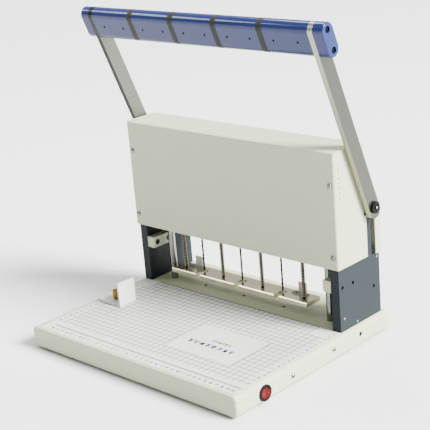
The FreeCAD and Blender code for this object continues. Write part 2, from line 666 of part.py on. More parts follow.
guide_rods = []
anchors = []
for side in SIDES:
    spot = (side * D.rod_x, D.rod_y)
    guide_rods.append(pin("guide_rod", "z", (D.rod_low, D.rod_top), spot, D.rod_radius))
    anchor = block(
        "anchor_solid", (spot[0] - D.anchor_half, spot[0] + D.anchor_half),
        (D.rod_y - D.anchor_half, D.rod_y + D.anchor_half), (table_under - D.anchor_tall, table_under),
    )
    hole = pin("anchor_hole", "z", (D.rod_low - 1, D.table_top), spot, D.rod_radius)
    anchors.append(carve("anchor", anchor, [hole]))
node("guide_rods", bundle("guide_rods_all", guide_rods))
node("rod_anchors", bundle("anchors_all", anchors))

cover_outer = block(
    "cover_outer", (-D.cover_out, D.cover_out), (D.cover_front, D.cover_back), (D.column_step, D.cover_top)
)
cover_outer = rounded("cover_outer_round", cover_outer, D.sheet, lambda a, b: (
    along("z")(a, b) and at_level("y", D.cover_back.value)(a, b)
))
cover_cuts = [
    block(
        "cover_inner", (D.sheet - D.cover_out, D.cover_out - D.sheet),
        (D.cover_front - 1, D.cover_back - D.sheet), (D.column_step + D.sheet, D.cover_top - D.sheet),
    ),
    block(
        "cover_top_gap", (D.sheet - D.cover_out, D.cover_out - D.sheet),
        (D.cover_front - 1, D.cover_back - D.cover_lip), (D.cover_top - 3, D.cover_top + 1),
    ),
    block(
        "cover_floor_gap", (D.sheet - D.cover_out, D.cover_out - D.sheet),
        (D.cover_front - 1, D.cover_floor_front), (D.column_step - 1, D.column_step + 3),
    ),
]
cover_screws = []
for side in SIDES:
    spot = (side * D.cover_screw_x, D.cover_screw_y)
    floor = D.column_step + D.sheet
    cover_cuts.append(pin("cover_hole", "z", (D.column_step - 1, floor + 1), spot, D.cover_shank_radius))
    head = pin("cover_head", "z", (floor, floor + D.cover_head_tall), spot, D.cover_head_radius)
    shank = pin("cover_shank", "z", (floor - D.cover_shank_long, floor), spot, D.cover_shank_radius)
    cover_screws.append(join("cover_screw", [head, shank]))
node("rear_cover", carve("cover_cut", cover_outer, cover_cuts))
node("rear_cover_screws", bundle("cover_screws_all", cover_screws))

node("cross_tie", plate(
    "cross_tie", "x", (-D.column_in, D.column_in), square((D.tie_front, D.tie_back), (D.tie_low, D.tie_top))
))

# ---- lever --------------------------------------------------------------------------
bushes = []
for side in SIDES:
    tube = join("bush_solid", [
        pin("bush_tube", "x", span(side, D.column_in, D.column_out), pivot, D.shaft_bush_radius),
        pin("bush_flange", "x", span(side, D.column_out, D.bush_out), pivot, D.shaft_flange_radius),
    ])
    bore = pin(
        "bush_bore", "x", span(side, D.column_in - 1, D.bush_out + 1), pivot, D.shaft_radius + D.running_gap
    )
    bushes.append(carve("shaft_bush", tube, [bore]))
node("shaft_bushes", bundle("shaft_bushes_all", bushes))

shaft_pieces = [pin("shaft_rod", "x", (-D.arm_out, D.arm_out), pivot, D.shaft_radius)]
for side in SIDES:
    shaft_pieces.append(pin("shaft_collar", "x", span(side, D.collar_in, D.arm_in), pivot, D.collar_radius))
node("lever_shaft", join("shaft_all", shaft_pieces))

for side, word in zip(SIDES, ("left", "right")):
    reach = span(side, D.arm_in, D.arm_out)
    body = plate("lever_arm_" + word, "x", reach, [
        (D.arm_chamfer - D.arm_half, -D.arm_low), (D.arm_half - D.arm_chamfer, -D.arm_low),
        (D.arm_half, D.arm_chamfer - D.arm_low), (D.arm_half, D.arm_top),
        (-D.arm_half, D.arm_top), (-D.arm_half, D.arm_chamfer - D.arm_low),
    ])
    drawn_feature(body, "Pad", f"arm_{word}_end", "x", reach, [], [((0, D.arm_top), D.arm_half)])
    drawn_feature(body, "Pocket", f"arm_{word}_holes", "x", reach, [], [
        ((0, 0), D.shaft_radius),
        ((0, D.grip_centre + D.grip_screw_off), D.grip_shank_radius),
        ((0, D.grip_centre - D.grip_screw_off), D.grip_shank_radius),
    ])
    node("lever_arm_" + word, lean(body))


def stadium(name, reach, half):
    """A bar along X whose section is a slot shape standing on the lever's own Z."""
    low = D.grip_centre - D.grip_half
    high = D.grip_centre + D.grip_half
    return join(name, [
        block(name + "_web", reach, (-half, half), (low, high)),
        pin(name + "_low", "x", reach, (0, low), half),
        pin(name + "_high", "x", reach, (0, high), half),
    ])


bar_cuts = []
bands = []
for x in (-D.band_far, -D.band_near, D.band_near, D.band_far):
    reach = (x - D.band_half, x + D.band_half)
    core = stadium("band_core", reach, D.arm_half - D.band_deep)
    bar_cuts.append(carve("band_groove", stadium("groove_outer", reach, D.arm_half + 1), [core]))
    hollow = stadium("band_hollow", reach, D.arm_half - D.band_deep)
    bands.append(carve("grip_band", stadium("band_outer", reach, D.arm_half), [hollow]))
for step in range(-2, 3):
    for side in SIDES:
        x = D.section_pitch * step + side * D.dimple_off
        reach = (-D.arm_half - 1, D.dimple_deep - D.arm_half)
        bar_cuts.append(pin("dimple", "y", reach, (x, D.grip_centre), D.dimple_radius))
ends = []
grip_screws = []
for side in SIDES:
    end = stadium("end_solid", span(side, D.arm_out, D.grip_end), D.arm_half)
    edge = side * D.grip_end.value
    end = rounded("end_round", end, D.grip_edge_round, at_level("x", edge))
    sinks = []
    for row in SIDES:
        spot = (0, D.grip_centre + row * D.grip_screw_off)
        floor = D.grip_end - D.grip_screw_deep
        sinks.append(pin("end_sink", "x", span(side, floor, D.grip_end + 1), spot, D.grip_screw_radius))
        sinks.append(pin("end_bore", "x", span(side, D.arm_out - 1, floor + 1), spot, D.grip_shank_radius))
        reach = span(side, D.grip_shank_end, D.arm_in)
        bar_cuts.append(pin("bar_bore", "x", reach, spot, D.grip_shank_radius))
        head = pin("grip_head", "x", span(side, floor, floor + D.grip_head_tall), spot, D.grip_head_radius)
        shank = pin("grip_shank", "x", span(side, D.grip_shank_end, floor), spot, D.grip_shank_radius)
        grip_screws.append(join("grip_screw", [head, shank]))
    ends.append(carve("grip_end", end, sinks))
bar = stadium("bar_solid", (-D.arm_in, D.arm_in), D.arm_half)
node("grip_bar", lean(carve("bar_cut", bar, bar_cuts)))
node("grip_bands", lean(bundle("bands_all", bands)))
node("grip_ends", lean(bundle("ends_all", ends)))
node("grip_screws", lean(bundle("grip_screws_all", grip_screws)))

caps = []
for side in SIDES:
    caps.append(join("arm_cap", [
        pin("cap_disc", "x", span(side, D.arm_out, D.arm_out + D.cap_tall), pivot, D.cap_radius),
        pin("cap_nub", "x", span(side, D.arm_out + 1, D.arm_out + D.cap_tall + D.cap_nub_tall), pivot,
            D.cap_nub_radius),
    ]))
node("arm_caps", bundle("arm_caps_all", caps))

# The driving wheels have a gap facing the racks, which carry a tooth at the pivot's height.
wheels = []
racks = []
half_tooth = math.pi / D.wheel_teeth.value
for side in SIDES:
    profile = gear_outline(D.rack_module.value, int(D.wheel_teeth.value), half_tooth)
    points = [FreeCAD.Vector(0, y, z) for y, z in profile]
    teeth = extruded("wheel_teeth", points, FreeCAD.Vector(D.wheel_out.value - D.wheel_in.value, 0, 0))
    low, high = span(side, D.wheel_in, D.wheel_out)
    place(teeth, low, *pivot)
    hub = pin("wheel_hub", "x", span(side, D.wheel_out, D.wheel_hub_out), pivot, D.wheel_hub_radius)
    bore = pin("wheel_bore", "x", span(side, D.wheel_in - 1, D.wheel_hub_out + 1), pivot, D.shaft_radius)
    wheels.append(carve("drive_wheel", join("wheel_solid", [teeth, hub]), [bore]))

    module = D.rack_module.value
    line = D.pivot_y.value - module * D.wheel_teeth.value / 2
    quarter = math.pi * module / 4 - D.tooth_play.value
    slope = math.tan(math.radians(D.pressure_angle.value))
    foot = D.tooth_foot.value * module
    outline = [(D.rack_front.value, D.lower_low.value + D.plate_thick.value)]
    outline.append((line - foot, outline[0][1]))
    for tooth in range(-int(D.rack_below.value), int(D.rack_above.value) + 1):
        middle = D.pivot_z.value + tooth * math.pi * module
        wide = quarter + foot * slope
        thin = quarter - module * slope
        outline += [
            (line - foot, middle - wide), (line + module, middle - thin),
            (line + module, middle + thin), (line - foot, middle + wide),
        ]
    outline += [(line - foot, D.rack_top.value), (D.rack_front.value, D.rack_top.value)]
    points = [FreeCAD.Vector(0, y, z) for y, z in outline]
    rack = extruded("rack", points, FreeCAD.Vector(D.wheel_out.value - D.wheel_in.value, 0, 0))
    bind(rack, "Placement.Base.x", low)
    racks.append(rack)
node("drive_wheels", bundle("wheels_all", wheels))
node("head_racks", bundle("racks_all", racks))

# ---- head ---------------------------------------------------------------------------
clamp_rod_spots = [
    (side * offset - D.drill_middle, D.drill_y) for side in SIDES for offset in (D.clamp_rod_near, D.clamp_rod_far)
]
rod_spots = [(side * D.rod_x, D.rod_y) for side in SIDES]
stop_spots = [(side * D.stop_x, D.stop_y) for side in SIDES]
idler_spots = [(side * D.drill_pitch / 2 - D.drill_middle, D.drill_y) for side in SIDES]
pillar_spots = [(side * D.pillar_x, row) for side in SIDES for row in (D.pillar_front, D.pillar_back)]
motor_spot = (D.drill_pitch - D.drill_middle + D.motor_offset, D.drill_y)
lower_top = D.lower_low + D.plate_thick
upper_top = D.upper_low + D.plate_thick

node("lower_plate", plate(
    "lower_plate", "z", (D.lower_low, lower_top),
    square((-D.lower_half, D.lower_half), (D.plate_front, D.plate_back)),
    circles=[(spot, D.bearing_radius) for spot in drill_spots]
    + [(spot, D.bush_radius) for spot in rod_spots]
    + [(spot, D.stop_radius) for spot in stop_spots]
    + [(spot, D.clamp_rod_radius + D.running_gap) for spot in clamp_rod_spots],
))
node("upper_plate", plate(
    "upper_plate", "z", (D.upper_low, upper_top),
    square((-D.upper_half, D.upper_half), (D.plate_front, D.plate_back)),
    circles=[(spot, D.bearing_radius) for spot in drill_spots]
    + [(spot, D.bush_radius) for spot in rod_spots]
    + [(spot, D.axle_radius) for spot in idler_spots]
    + [(motor_spot, D.motor_shaft_radius + 1)],
))
node("plate_pillars", bundle("pillars_all", [
    pin("pillar", "z", (lower_top, D.upper_low), spot, D.pillar_radius) for spot in pillar_spots
]))

back = plate("head_back_plate", "y", (D.plate_back, D.plate_back + D.back_thick), [
    (-D.lower_half, D.back_low), (D.lower_half, D.back_low), (D.lower_half, D.back_neck_low),
    (D.back_neck_half, D.back_neck_low), (D.back_neck_half, D.back_neck_high),
    (D.back_wide_half, D.back_neck_high), (D.back_wide_half, D.back_high),
    (-D.back_wide_half, D.back_high), (-D.back_wide_half, D.back_neck_high),
    (-D.back_neck_half, D.back_neck_high), (-D.back_neck_half, D.back_neck_low),
    (-D.lower_half, D.back_neck_low),
])
drawn_feature(
    back, "Pad", "spring_ledge", "y", (D.plate_back, D.plate_back + D.back_thick + D.ledge_deep),
    [square((-D.ledge_half, D.ledge_half), (D.back_low, D.back_low + D.ledge_tall))], [],
)
rear_screw_spots = [(side * x, D.rear_screw_z) for side in SIDES for x in (D.rear_screw_near, D.rear_screw_far)]
drawn_feature(
    back, "Pocket", "rear_screw_holes", "y", (D.plate_back, D.plate_back + D.back_thick), [],
    [(spot, D.hood_shank_radius) for spot in rear_screw_spots],
)
node("head_back_plate", back)

guide_bushes = []
for spot in rod_spots:
    for low in (D.lower_low, D.upper_low):
        reach = (low - D.bush_over, low + D.plate_thick + D.bush_over)
        tube = pin("guide_tube", "z", reach, spot, D.bush_radius)
        bore = pin("guide_bore", "z", (reach[0] - 1, reach[1] + 1), spot, D.rod_radius + D.running_gap)
        guide_bushes.append(carve("guide_bush", tube, [bore]))
node("guide_bushes", bundle("guide_bushes_all", guide_bushes))

stop_bolts = []
for spot in stop_spots:
    stop_bolts.append(join("stop_bolt", [
        pin("stop_shank", "z", (D.stop_low, lower_top), spot, D.stop_radius),
        pin("stop_head", "z", (D.stop_low, D.stop_low + D.stop_head_tall), spot, D.stop_head_radius),
        pin("stop_nut", "z", (D.lower_low - D.stop_head_tall, D.lower_low), spot, D.stop_head_radius),
    ]))
node("stop_bolts", bundle("stop_bolts_all", stop_bolts))

bearings = []
for spot in drill_spots:
    for low in (D.lower_low, D.upper_low):
        ring = pin("bearing_ring", "z", (low, low + D.plate_thick), spot, D.bearing_radius)
        bore = pin("bearing_bore", "z", (low - 1, low + D.plate_thick + 1), spot, D.spindle_radius + D.running_gap)
        bearings.append(carve("spindle_bearing", ring, [bore]))
node("spindle_bearings", bundle("bearings_all", bearings))

axles = []
for spot in idler_spots:
    head_low = D.axle_low - D.axle_head_tall
    axles.append(join("idler_axle", [
        pin("axle_rod", "z", (head_low, upper_top), spot, D.axle_radius),
        pin("axle_head", "z", (head_low, D.axle_low), spot, D.axle_head_radius),
    ]))
node("idler_axles", bundle("axles_all", axles))

motor_can = join("motor_solid", [
    pin("motor_can", "z", (upper_top, upper_top + D.motor_tall), motor_spot, D.motor_radius),
    pin("motor_cap", "z", (upper_top + D.motor_tall, upper_top + D.motor_tall + D.motor_cap_tall), motor_spot,
        D.motor_cap_radius),
])
motor_bore = pin(
    "motor_bore", "z", (upper_top - 1, D.motor_shaft_top + 1), motor_spot, D.motor_shaft_radius + D.running_gap
)
node("drill_motor", carve("motor_cut", motor_can, [motor_bore]))

# ---- spindles, drills and gears -----------------------------------------------------
for spot, word in zip(drill_spots, ("left", "middle", "right")):
    chuck_body = join(f"spindle_{word}_solid", [
        pin("chuck", "z", (D.chuck_low + D.chuck_nose, D.chuck_top), spot, D.chuck_radius),
        cone("chuck_nose", (D.chuck_low, D.chuck_low + D.chuck_nose), spot, D.chuck_nose_radius, D.chuck_radius),
        pin("spindle_shaft", "z", (D.chuck_top - 1, D.spindle_top), spot, D.spindle_radius),
        flat_gear("spindle_gear", D.gear_module, D.gear_teeth, 0, D.gear_low, D.gear_tall, spot),
    ])
    socket = pin("chuck_socket", "z", (D.chuck_low - 1, D.drill_top_z), spot, D.drill_radius)
    node("spindle_" + word, carve(f"spindle_{word}_cut", chuck_body, [socket]))
    point_top = D.drill_tip_z + D.drill_point
    node("drill_" + word, join(f"drill_{word}_all", [
        cone("drill_point", (D.drill_tip_z, point_top), spot, D.drill_chisel, D.drill_radius),
        pin("drill_shank", "z", (point_top, D.drill_top_z), spot, D.drill_radius),
    ]))

half_gap = math.pi / D.gear_teeth.value
for spot, word in zip(idler_spots, ("left", "right")):
    wheel = flat_gear("idler_gear", D.gear_module, D.gear_teeth, half_gap, D.gear_low, D.gear_tall, spot)
    bore = pin(
        "idler_bore", "z", (D.gear_low - 1, D.gear_low + D.gear_tall + 1), spot, D.axle_radius + D.running_gap
    )
    node("idler_" + word, carve(f"idler_{word}_cut", wheel, [bore]))

half_gap = math.pi / D.pinion_teeth.value
node("motor_pinion", join("pinion_all", [
    flat_gear("pinion_gear", D.gear_module, D.pinion_teeth, half_gap, D.gear_low, D.gear_tall, motor_spot),
    pin("motor_shaft", "z", (D.motor_shaft_low, D.motor_shaft_top), motor_spot, D.motor_shaft_radius),
]))

# ---- hood ---------------------------------------------------------------------------
hood_outer = block("hood_outer", (-D.hood_half, D.hood_half), (D.hood_front, D.hood_back), (D.hood_low, D.hood_top))
hood_outer = rounded("hood_back_edge", hood_outer, D.hood_back_round, lambda a, b: (
    at_level("z", D.hood_top.value)(a, b) and at_level("y", D.hood_back.value)(a, b)
))
hood_outer = rounded("hood_edges", hood_outer, D.hood_corner, lambda a, b: (
    (at_level("y", D.hood_front.value)(a, b) and not at_level("z", D.hood_low.value)(a, b))
))
side_room = (D.sheet - D.hood_half, D.hood_half - D.sheet)
hood_inner = block(
    "hood_inner", side_room, (D.hood_front + D.sheet, D.hood_back - D.sheet), (D.hood_low - 1, D.hood_top - D.sheet)
)
hood_inner = rounded("hood_inner_edge", hood_inner, D.hood_inner_round, lambda a, b: (
    at_level("z", D.hood_top.value - D.sheet.value)(a, b) and at_level("y", D.hood_back.value - D.sheet.value)(a, b)
))
hood_cuts = [
    hood_inner,
    block("hood_back_gap", side_room, (D.hood_back - 3, D.hood_back + 1), (D.hood_low - 1, D.hood_strip_low)),
    block(
        "hood_notches", (-D.hood_half - 1, D.hood_half + 1), (D.notch_front, D.hood_back + 1),
        (D.notch_low, D.notch_top),
    ),
]
front_screw_spots = [(side * D.hood_screw_x, z) for side in SIDES for z in (D.hood_screw_low, D.hood_screw_high)]
inner_front = D.hood_front + D.sheet
nuts = []
for spot in front_screw_spots:
    nuts.append(pin("hood_nut", "y", (inner_front, inner_front + D.hood_nut_thick), spot, D.hood_nut_radius))
shell = join("hood_with_nuts", [carve("hood_cut", hood_outer, hood_cuts), *nuts])
hood_holes = []
hood_screws = []
for spot, facing in [(spot, -1) for spot in front_screw_spots] + [(spot, 1) for spot in rear_screw_spots]:
    surface = D.hood_front if facing < 0 else D.hood_back
    inward = span(-facing, -facing * surface, -facing * surface + D.hood_shank_long)
    if facing > 0:
        inward = (surface - D.hood_shank_long, surface)
        washer_reach = (surface, surface + D.hood_washer_thick)
        head_reach = (surface + D.hood_washer_thick, surface + D.hood_washer_thick + D.hood_head_tall)
    else:
        inward = (surface, surface + D.hood_shank_long)
        washer_reach = (surface - D.hood_washer_thick, surface)
        head_reach = (surface - D.hood_washer_thick - D.hood_head_tall, surface - D.hood_washer_thick)
    hood_holes.append(pin("hood_hole", "y", inward, spot, D.hood_shank_radius))
    hood_screws.append(join("hood_screw", [
        pin("hood_shank", "y", inward, spot, D.hood_shank_radius),
        pin("hood_washer", "y", washer_reach, spot, D.hood_washer_radius),
        pin("hood_head", "y", head_reach, spot, D.hood_head_radius),
    ]))
node("hood", carve("hood_drilled", shell, hood_holes))
node("hood_screws", bundle("hood_screws_all", hood_screws))

# ---- clamp bar ----------------------------------------------------------------------
clamp_x = (-D.clamp_half - D.drill_middle, D.clamp_half - D.drill_middle)
clamp = plate(
    "clamp_bar", "z", (D.clamp_low, D.clamp_top), square(clamp_x, (D.clamp_front, D.clamp_back)),
    circles=[(spot, D.clamp_rod_radius) for spot in clamp_rod_spots],
)
drawn_feature(clamp, "Pocket", "drill_rooms", "z", (D.clamp_low, D.clamp_top), [], [
    (spot, D.slot_radius) for spot in drill_spots
])
drawn_feature(clamp, "Pocket", "drill_slots", "z", (D.clamp_low, D.clamp_top), [
    square((x - D.slot_wide / 2, x + D.slot_wide / 2), (D.clamp_front - 1, y)) for x, y in drill_spots
], [])
lug_starts = [-D.lug_left - D.drill_middle, D.lug_right_start - D.drill_middle]
lug_screw_spots = [(start - D.lug_screw_off, D.lug_screw_y) for start in lug_starts]
drawn_feature(clamp, "Pocket", "lug_screw_holes", "z", (D.clamp_low, D.clamp_top), [], [
    (spot, D.lug_shank_radius) for spot in lug_screw_spots
])
slotted = clamp.Tip
edges = []
for number, edge in enumerate(slotted.Shape.Edges, start=1):
    ends = [vertex.Point for vertex in edge.Vertexes]
    on_front = len(ends) == 2 and at_level("y", D.clamp_front.value)(*ends)
    if on_front and at_level("z", D.clamp_top.value)(*ends):
        edges.append(f"Edge{number}")
bevel = clamp.newObject("PartDesign::Chamfer", "clamp_bevel")
bevel.Base = (slotted, edges)
bind(bevel, "Size", D.clamp_chamfer)
clamp.Tip = bevel
node("clamp_bar", clamp)

clamp_rods = []
clamp_springs = []
for spot in clamp_rod_spots:
    collar_low = lower_top + 2 * D.running_gap
    collar_top = collar_low + D.clamp_collar_tall
    clamp_rods.append(join("clamp_rod", [
        pin("clamp_rod_shank", "z", (D.clamp_low, collar_top), spot, D.clamp_rod_radius),
        pin("clamp_rod_collar", "z", (collar_low, collar_top), spot, D.clamp_collar_radius),
    ]))
    clamp_springs.append(coil(
        "clamp_spring", D.clamp_spring_radius, D.clamp_spring_wire, D.clamp_spring_pitch, D.clamp_top, D.lower_low,
        spot,
    ))
node("clamp_rods", bundle("clamp_rods_all", clamp_rods))
node("clamp_springs", bundle("clamp_springs_all", clamp_springs))

lugs = []
lug_screws = []
for start, spot in zip(lug_starts, lug_screw_spots):
    foot = block(
        "lug_foot", (start - D.lug_foot_long, start + D.lug_wide), (D.lug_foot_front, D.lug_foot_back),
        (D.clamp_top, D.clamp_top + D.lug_thick),
    )
    upright = block(
        "lug_upright", (start, start + D.lug_wide), (D.lug_front, D.lug_front + D.lug_thick),
        (D.clamp_top, D.clamp_top + D.lug_tall),
    )
    hole = pin("lug_hole", "z", (D.clamp_top - 1, D.clamp_top + D.lug_thick + 1), spot, D.lug_shank_radius)
    lugs.append(carve("clamp_lug", join("lug_solid", [foot, upright]), [hole]))
    seat = D.clamp_top + D.lug_thick
    lug_screws.append(join("lug_screw", [
        pin("lug_head", "z", (seat, seat + D.lug_head_tall), spot, D.lug_head_radius),
        pin("lug_shank", "z", (seat - D.lug_shank_long, seat), spot, D.lug_shank_radius),
    ]))
node("clamp_lugs", bundle("clamp_lugs_all", lugs))
node("lug_screws", bundle("lug_screws_all", lug_screws))

return_springs = [
    coil(
        "return_spring", D.return_radius, D.return_wire, D.return_pitch, D.back_low + D.ledge_tall, D.tie_low,
        (side * D.return_x, D.return_y),
    )
    for side in SIDES
]
node("return_springs", bundle("return_springs_all", return_springs))

# ---- paper gauge --------------------------------------------------------------------
mat_top = D.table_top + D.mat_thick
knob_spot = (-D.knob_x, -D.knob_y)
gauge = plate(
    "paper_gauge", "z", (mat_top, mat_top + D.gauge_base),
    square((-D.gauge_left, -D.gauge_right), (-D.gauge_front, -D.gauge_back)),
    circles=[(knob_spot, D.stud_radius + D.running_gap)],
)
drawn_feature(gauge, "Pad", "gauge_upright", "z", (mat_top, mat_top + D.gauge_tall), [
    square((-D.gauge_right - D.gauge_wall, -D.gauge_right), (-D.gauge_front, -D.gauge_back))
], [])
node("paper_gauge", gauge)

nut = block(
    "nut_solid", (-D.knob_x - D.nut_half, D.nut_half - D.knob_x), (-D.knob_y - D.nut_half, D.nut_half - D.knob_y),
    (D.nut_low, D.nut_low + D.nut_tall),
)
nut_bore = pin("nut_bore", "z", (D.nut_low - 1, D.table_top), knob_spot, D.stud_radius + D.running_gap)
node("gauge_nut", carve("nut_cut", nut, [nut_bore]))

grooves = []
for number in range(int(D.knob_ribs.value)):
    angle = 2 * math.pi * number / D.knob_ribs.value
    x = D.knob_radius.value * math.cos(angle)
    y = D.knob_radius.value * math.sin(angle)
    spot = (knob_spot[0] + x, knob_spot[1] + y)
    grooves.append(pin("knob_groove", "z", (D.knob_low, D.knob_top + 1), spot, D.knob_groove))
knob_head = carve("knob_head", pin("knob_blank", "z", (D.knob_low, D.knob_top), knob_spot, D.knob_radius), grooves)
node("gauge_knob", join("knob_all", [
    knob_head,
    pin("knob_neck", "z", (mat_top + D.gauge_base + D.running_gap, D.knob_low + 1), knob_spot, D.knob_neck),
    pin("knob_stud", "z", (D.stud_low, D.knob_low + 1), knob_spot, D.stud_radius),
]))

# ---- check every piece and write it out ---------------------------------------------
doc.recompute()
for item in doc.Objects:
    if "Invalid" in item.State or "Error" in item.State:
        raise RuntimeError(f"{item.Name} did not build: {item.State}")
os.makedirs("parts", exist_ok=True)
for item in NODES:
    if item.Shape.isNull() or not item.Shape.isValid():
        raise RuntimeError(f"{item.Label} has no valid shape")
    item.Shape.exportStep(os.path.join("parts", item.Label + ".step"))
    box = item.Shape.BoundBox
    solids = len(item.Shape.Solids)
    print(f"{item.Label}: {solids} solids, {item.Shape.Volume:.0f} mm3, z {box.ZMin:.1f} to {box.ZMax:.1f}")
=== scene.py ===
import json
import math

import bmesh
import bpy
from mathutils import Matrix, Vector


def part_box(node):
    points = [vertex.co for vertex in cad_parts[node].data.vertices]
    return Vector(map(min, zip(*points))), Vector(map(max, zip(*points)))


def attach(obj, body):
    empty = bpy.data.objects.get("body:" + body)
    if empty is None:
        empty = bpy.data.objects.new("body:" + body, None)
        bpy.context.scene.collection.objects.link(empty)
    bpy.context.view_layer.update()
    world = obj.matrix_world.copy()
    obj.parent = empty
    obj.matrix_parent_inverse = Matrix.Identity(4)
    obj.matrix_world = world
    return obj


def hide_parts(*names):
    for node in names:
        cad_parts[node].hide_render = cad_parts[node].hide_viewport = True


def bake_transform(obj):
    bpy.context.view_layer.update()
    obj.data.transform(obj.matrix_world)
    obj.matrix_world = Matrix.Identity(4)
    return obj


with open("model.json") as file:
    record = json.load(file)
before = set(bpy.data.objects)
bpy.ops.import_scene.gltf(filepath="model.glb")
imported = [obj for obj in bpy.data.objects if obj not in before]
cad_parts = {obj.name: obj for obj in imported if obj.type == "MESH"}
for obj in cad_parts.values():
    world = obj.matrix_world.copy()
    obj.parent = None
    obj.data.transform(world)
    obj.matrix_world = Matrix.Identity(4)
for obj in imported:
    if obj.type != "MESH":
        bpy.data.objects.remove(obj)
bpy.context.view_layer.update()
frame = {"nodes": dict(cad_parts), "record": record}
nodes = frame["nodes"]
MM = 0.001
PIVOT = Vector((0.0, 0.1315, 0.2025))  # the lever's shaft
MIDDLE_X, MIDDLE_Y = -0.0115, 0.093  # the middle drill's axis, from which the mat is laid out


# ---- camera --------------------------------------------------------------------------
def add_camera(place, target, roll, lens):
    """A camera at a place, turned towards a target and then rolled by some degrees."""
    camera = bpy.data.objects.new("camera", bpy.data.cameras.new("camera"))
    bpy.context.scene.collection.objects.link(camera)
    camera.data.sensor_width = 36.0
    camera.data.lens = lens
    camera.data.clip_end = 20.0
    camera.location = place
    look = (Vector(target) - Vector(place)).to_track_quat("-Z", "Y")
    camera.rotation_mode = "QUATERNION"
    camera.rotation_quaternion = look @ Matrix.Rotation(math.radians(roll), 3, "Z").to_quaternion()
    bpy.context.scene.camera = camera


add_camera((1.13816, -1.12693, 0.72232), (-0.06656, 0.10087, 0.15298), -4.76, 98.84)


# ---- materials -----------------------------------------------------------------------
GRAIN_HEIGHT = 0.0004
COAT_ROUGHNESS = 0.08
BROAD_SCALE = 9.0


class Shader:
    """A node material built step by step."""

    def __init__(self, name):
        self.material = bpy.data.materials.new(name)
        self.material.use_nodes = True
        self.tree = self.material.node_tree
        self.surface = self.tree.nodes["Principled BSDF"]
        self.place = self.tree.nodes.new("ShaderNodeTexCoord")

    def add(self, kind, **settings):
        """A new node, with settings given for its sockets or its own properties."""
        made = self.tree.nodes.new(kind)
        for key, value in settings.items():
            if key in made.inputs:
                made.inputs[key].default_value = value
            else:
                setattr(made, key, value)
        return made

    def link(self, start, end):
        self.tree.links.new(start, end)

    def noise(self, scale, detail=3.0, stretch=(1, 1, 1)):
        """Noise in the object's own space, drawn out along an axis where stretch is small."""
        mapping = self.add("ShaderNodeMapping")
        mapping.inputs["Scale"].default_value = stretch
        self.link(self.place.outputs["Object"], mapping.inputs["Vector"])
        made = self.add("ShaderNodeTexNoise")
        made.inputs["Scale"].default_value = scale
        made.inputs["Detail"].default_value = detail
        self.link(mapping.outputs["Vector"], made.inputs["Vector"])
        return made.outputs["Fac"]

    def ramp(self, source, low, high, start=0.3, end=0.7):
        """Spreads source's range from start to end over low to high."""
        made = self.add("ShaderNodeMapRange")
        made.inputs["From Min"].default_value = start
        made.inputs["From Max"].default_value = end
        made.inputs["To Min"].default_value = low
        made.inputs["To Max"].default_value = high
        self.link(source, made.inputs["Value"])
        return made.outputs["Result"]

    def blend(self, amount, first, second):
        """A colour between two, each a plain colour or another node's output."""
        made = self.add("ShaderNodeMix", data_type="RGBA")
        self.link(amount, made.inputs["Factor"])
        for socket, value in ((made.inputs[6], first), (made.inputs[7], second)):
            if isinstance(value, tuple):
                socket.default_value = (*value, 1.0)
            else:
                self.link(value, socket)
        return made.outputs[2]

    def bump(self, source, strength, distance=GRAIN_HEIGHT):
        made = self.add("ShaderNodeBump")
        made.inputs["Strength"].default_value = strength
        made.inputs["Distance"].default_value = distance
        self.link(source, made.inputs["Height"])
        self.link(made.outputs["Normal"], self.surface.inputs["Normal"])


def finish(name, colour, rough, metal=0.0, grain=400.0, stretch=(1, 1, 1), vary=0.06, bump=0.02,
           coat=0.0, rough_vary=0.06, shine=0.5):
    """A surface whose colour, gloss and height all vary a little."""
    made = Shader(name)
    fine = made.noise(grain, 4.0, stretch)
    broad = made.noise(BROAD_SCALE, 2.0)
    darker = tuple(channel * (1.0 - vary) for channel in colour)
    lighter = tuple(min(1.0, channel * (1.0 + vary)) for channel in colour)
    made.link(made.blend(made.ramp(broad, 0.0, 1.0), darker, lighter), made.surface.inputs["Base Color"])
    made.link(made.ramp(fine, rough - rough_vary, rough + rough_vary), made.surface.inputs["Roughness"])
    made.surface.inputs["Metallic"].default_value = metal
    made.surface.inputs["Specular IOR Level"].default_value = shine
    made.surface.inputs["Coat Weight"].default_value = coat
    made.surface.inputs["Coat Roughness"].default_value = COAT_ROUGHNESS
    made.bump(fine, bump)
    return made.material


def edge_lit(name, face_colour, edge_colour):
    """Satin flat bar with a painted reflection: its narrow edges get another shade than its broad faces, which
    look along X.
    """
    made = Shader(name)
    fine = made.noise(260, 4.0, (6, 6, 0.25))
    split = made.add("ShaderNodeSeparateXYZ")
    made.link(made.place.outputs["Normal"], split.inputs["Vector"])
    across = made.add("ShaderNodeMath", operation="ABSOLUTE")
    made.link(split.outputs["X"], across.inputs[0])
    facing = made.ramp(across.outputs[0], 0.0, 1.0, 0.5, 0.9)
    made.link(made.blend(facing, edge_colour, face_colour), made.surface.inputs["Base Color"])
    made.link(made.ramp(fine, 0.26, 0.40), made.surface.inputs["Roughness"])
    made.surface.inputs["Metallic"].default_value = 1.0
    made.bump(fine, 0.08)
    return made.material


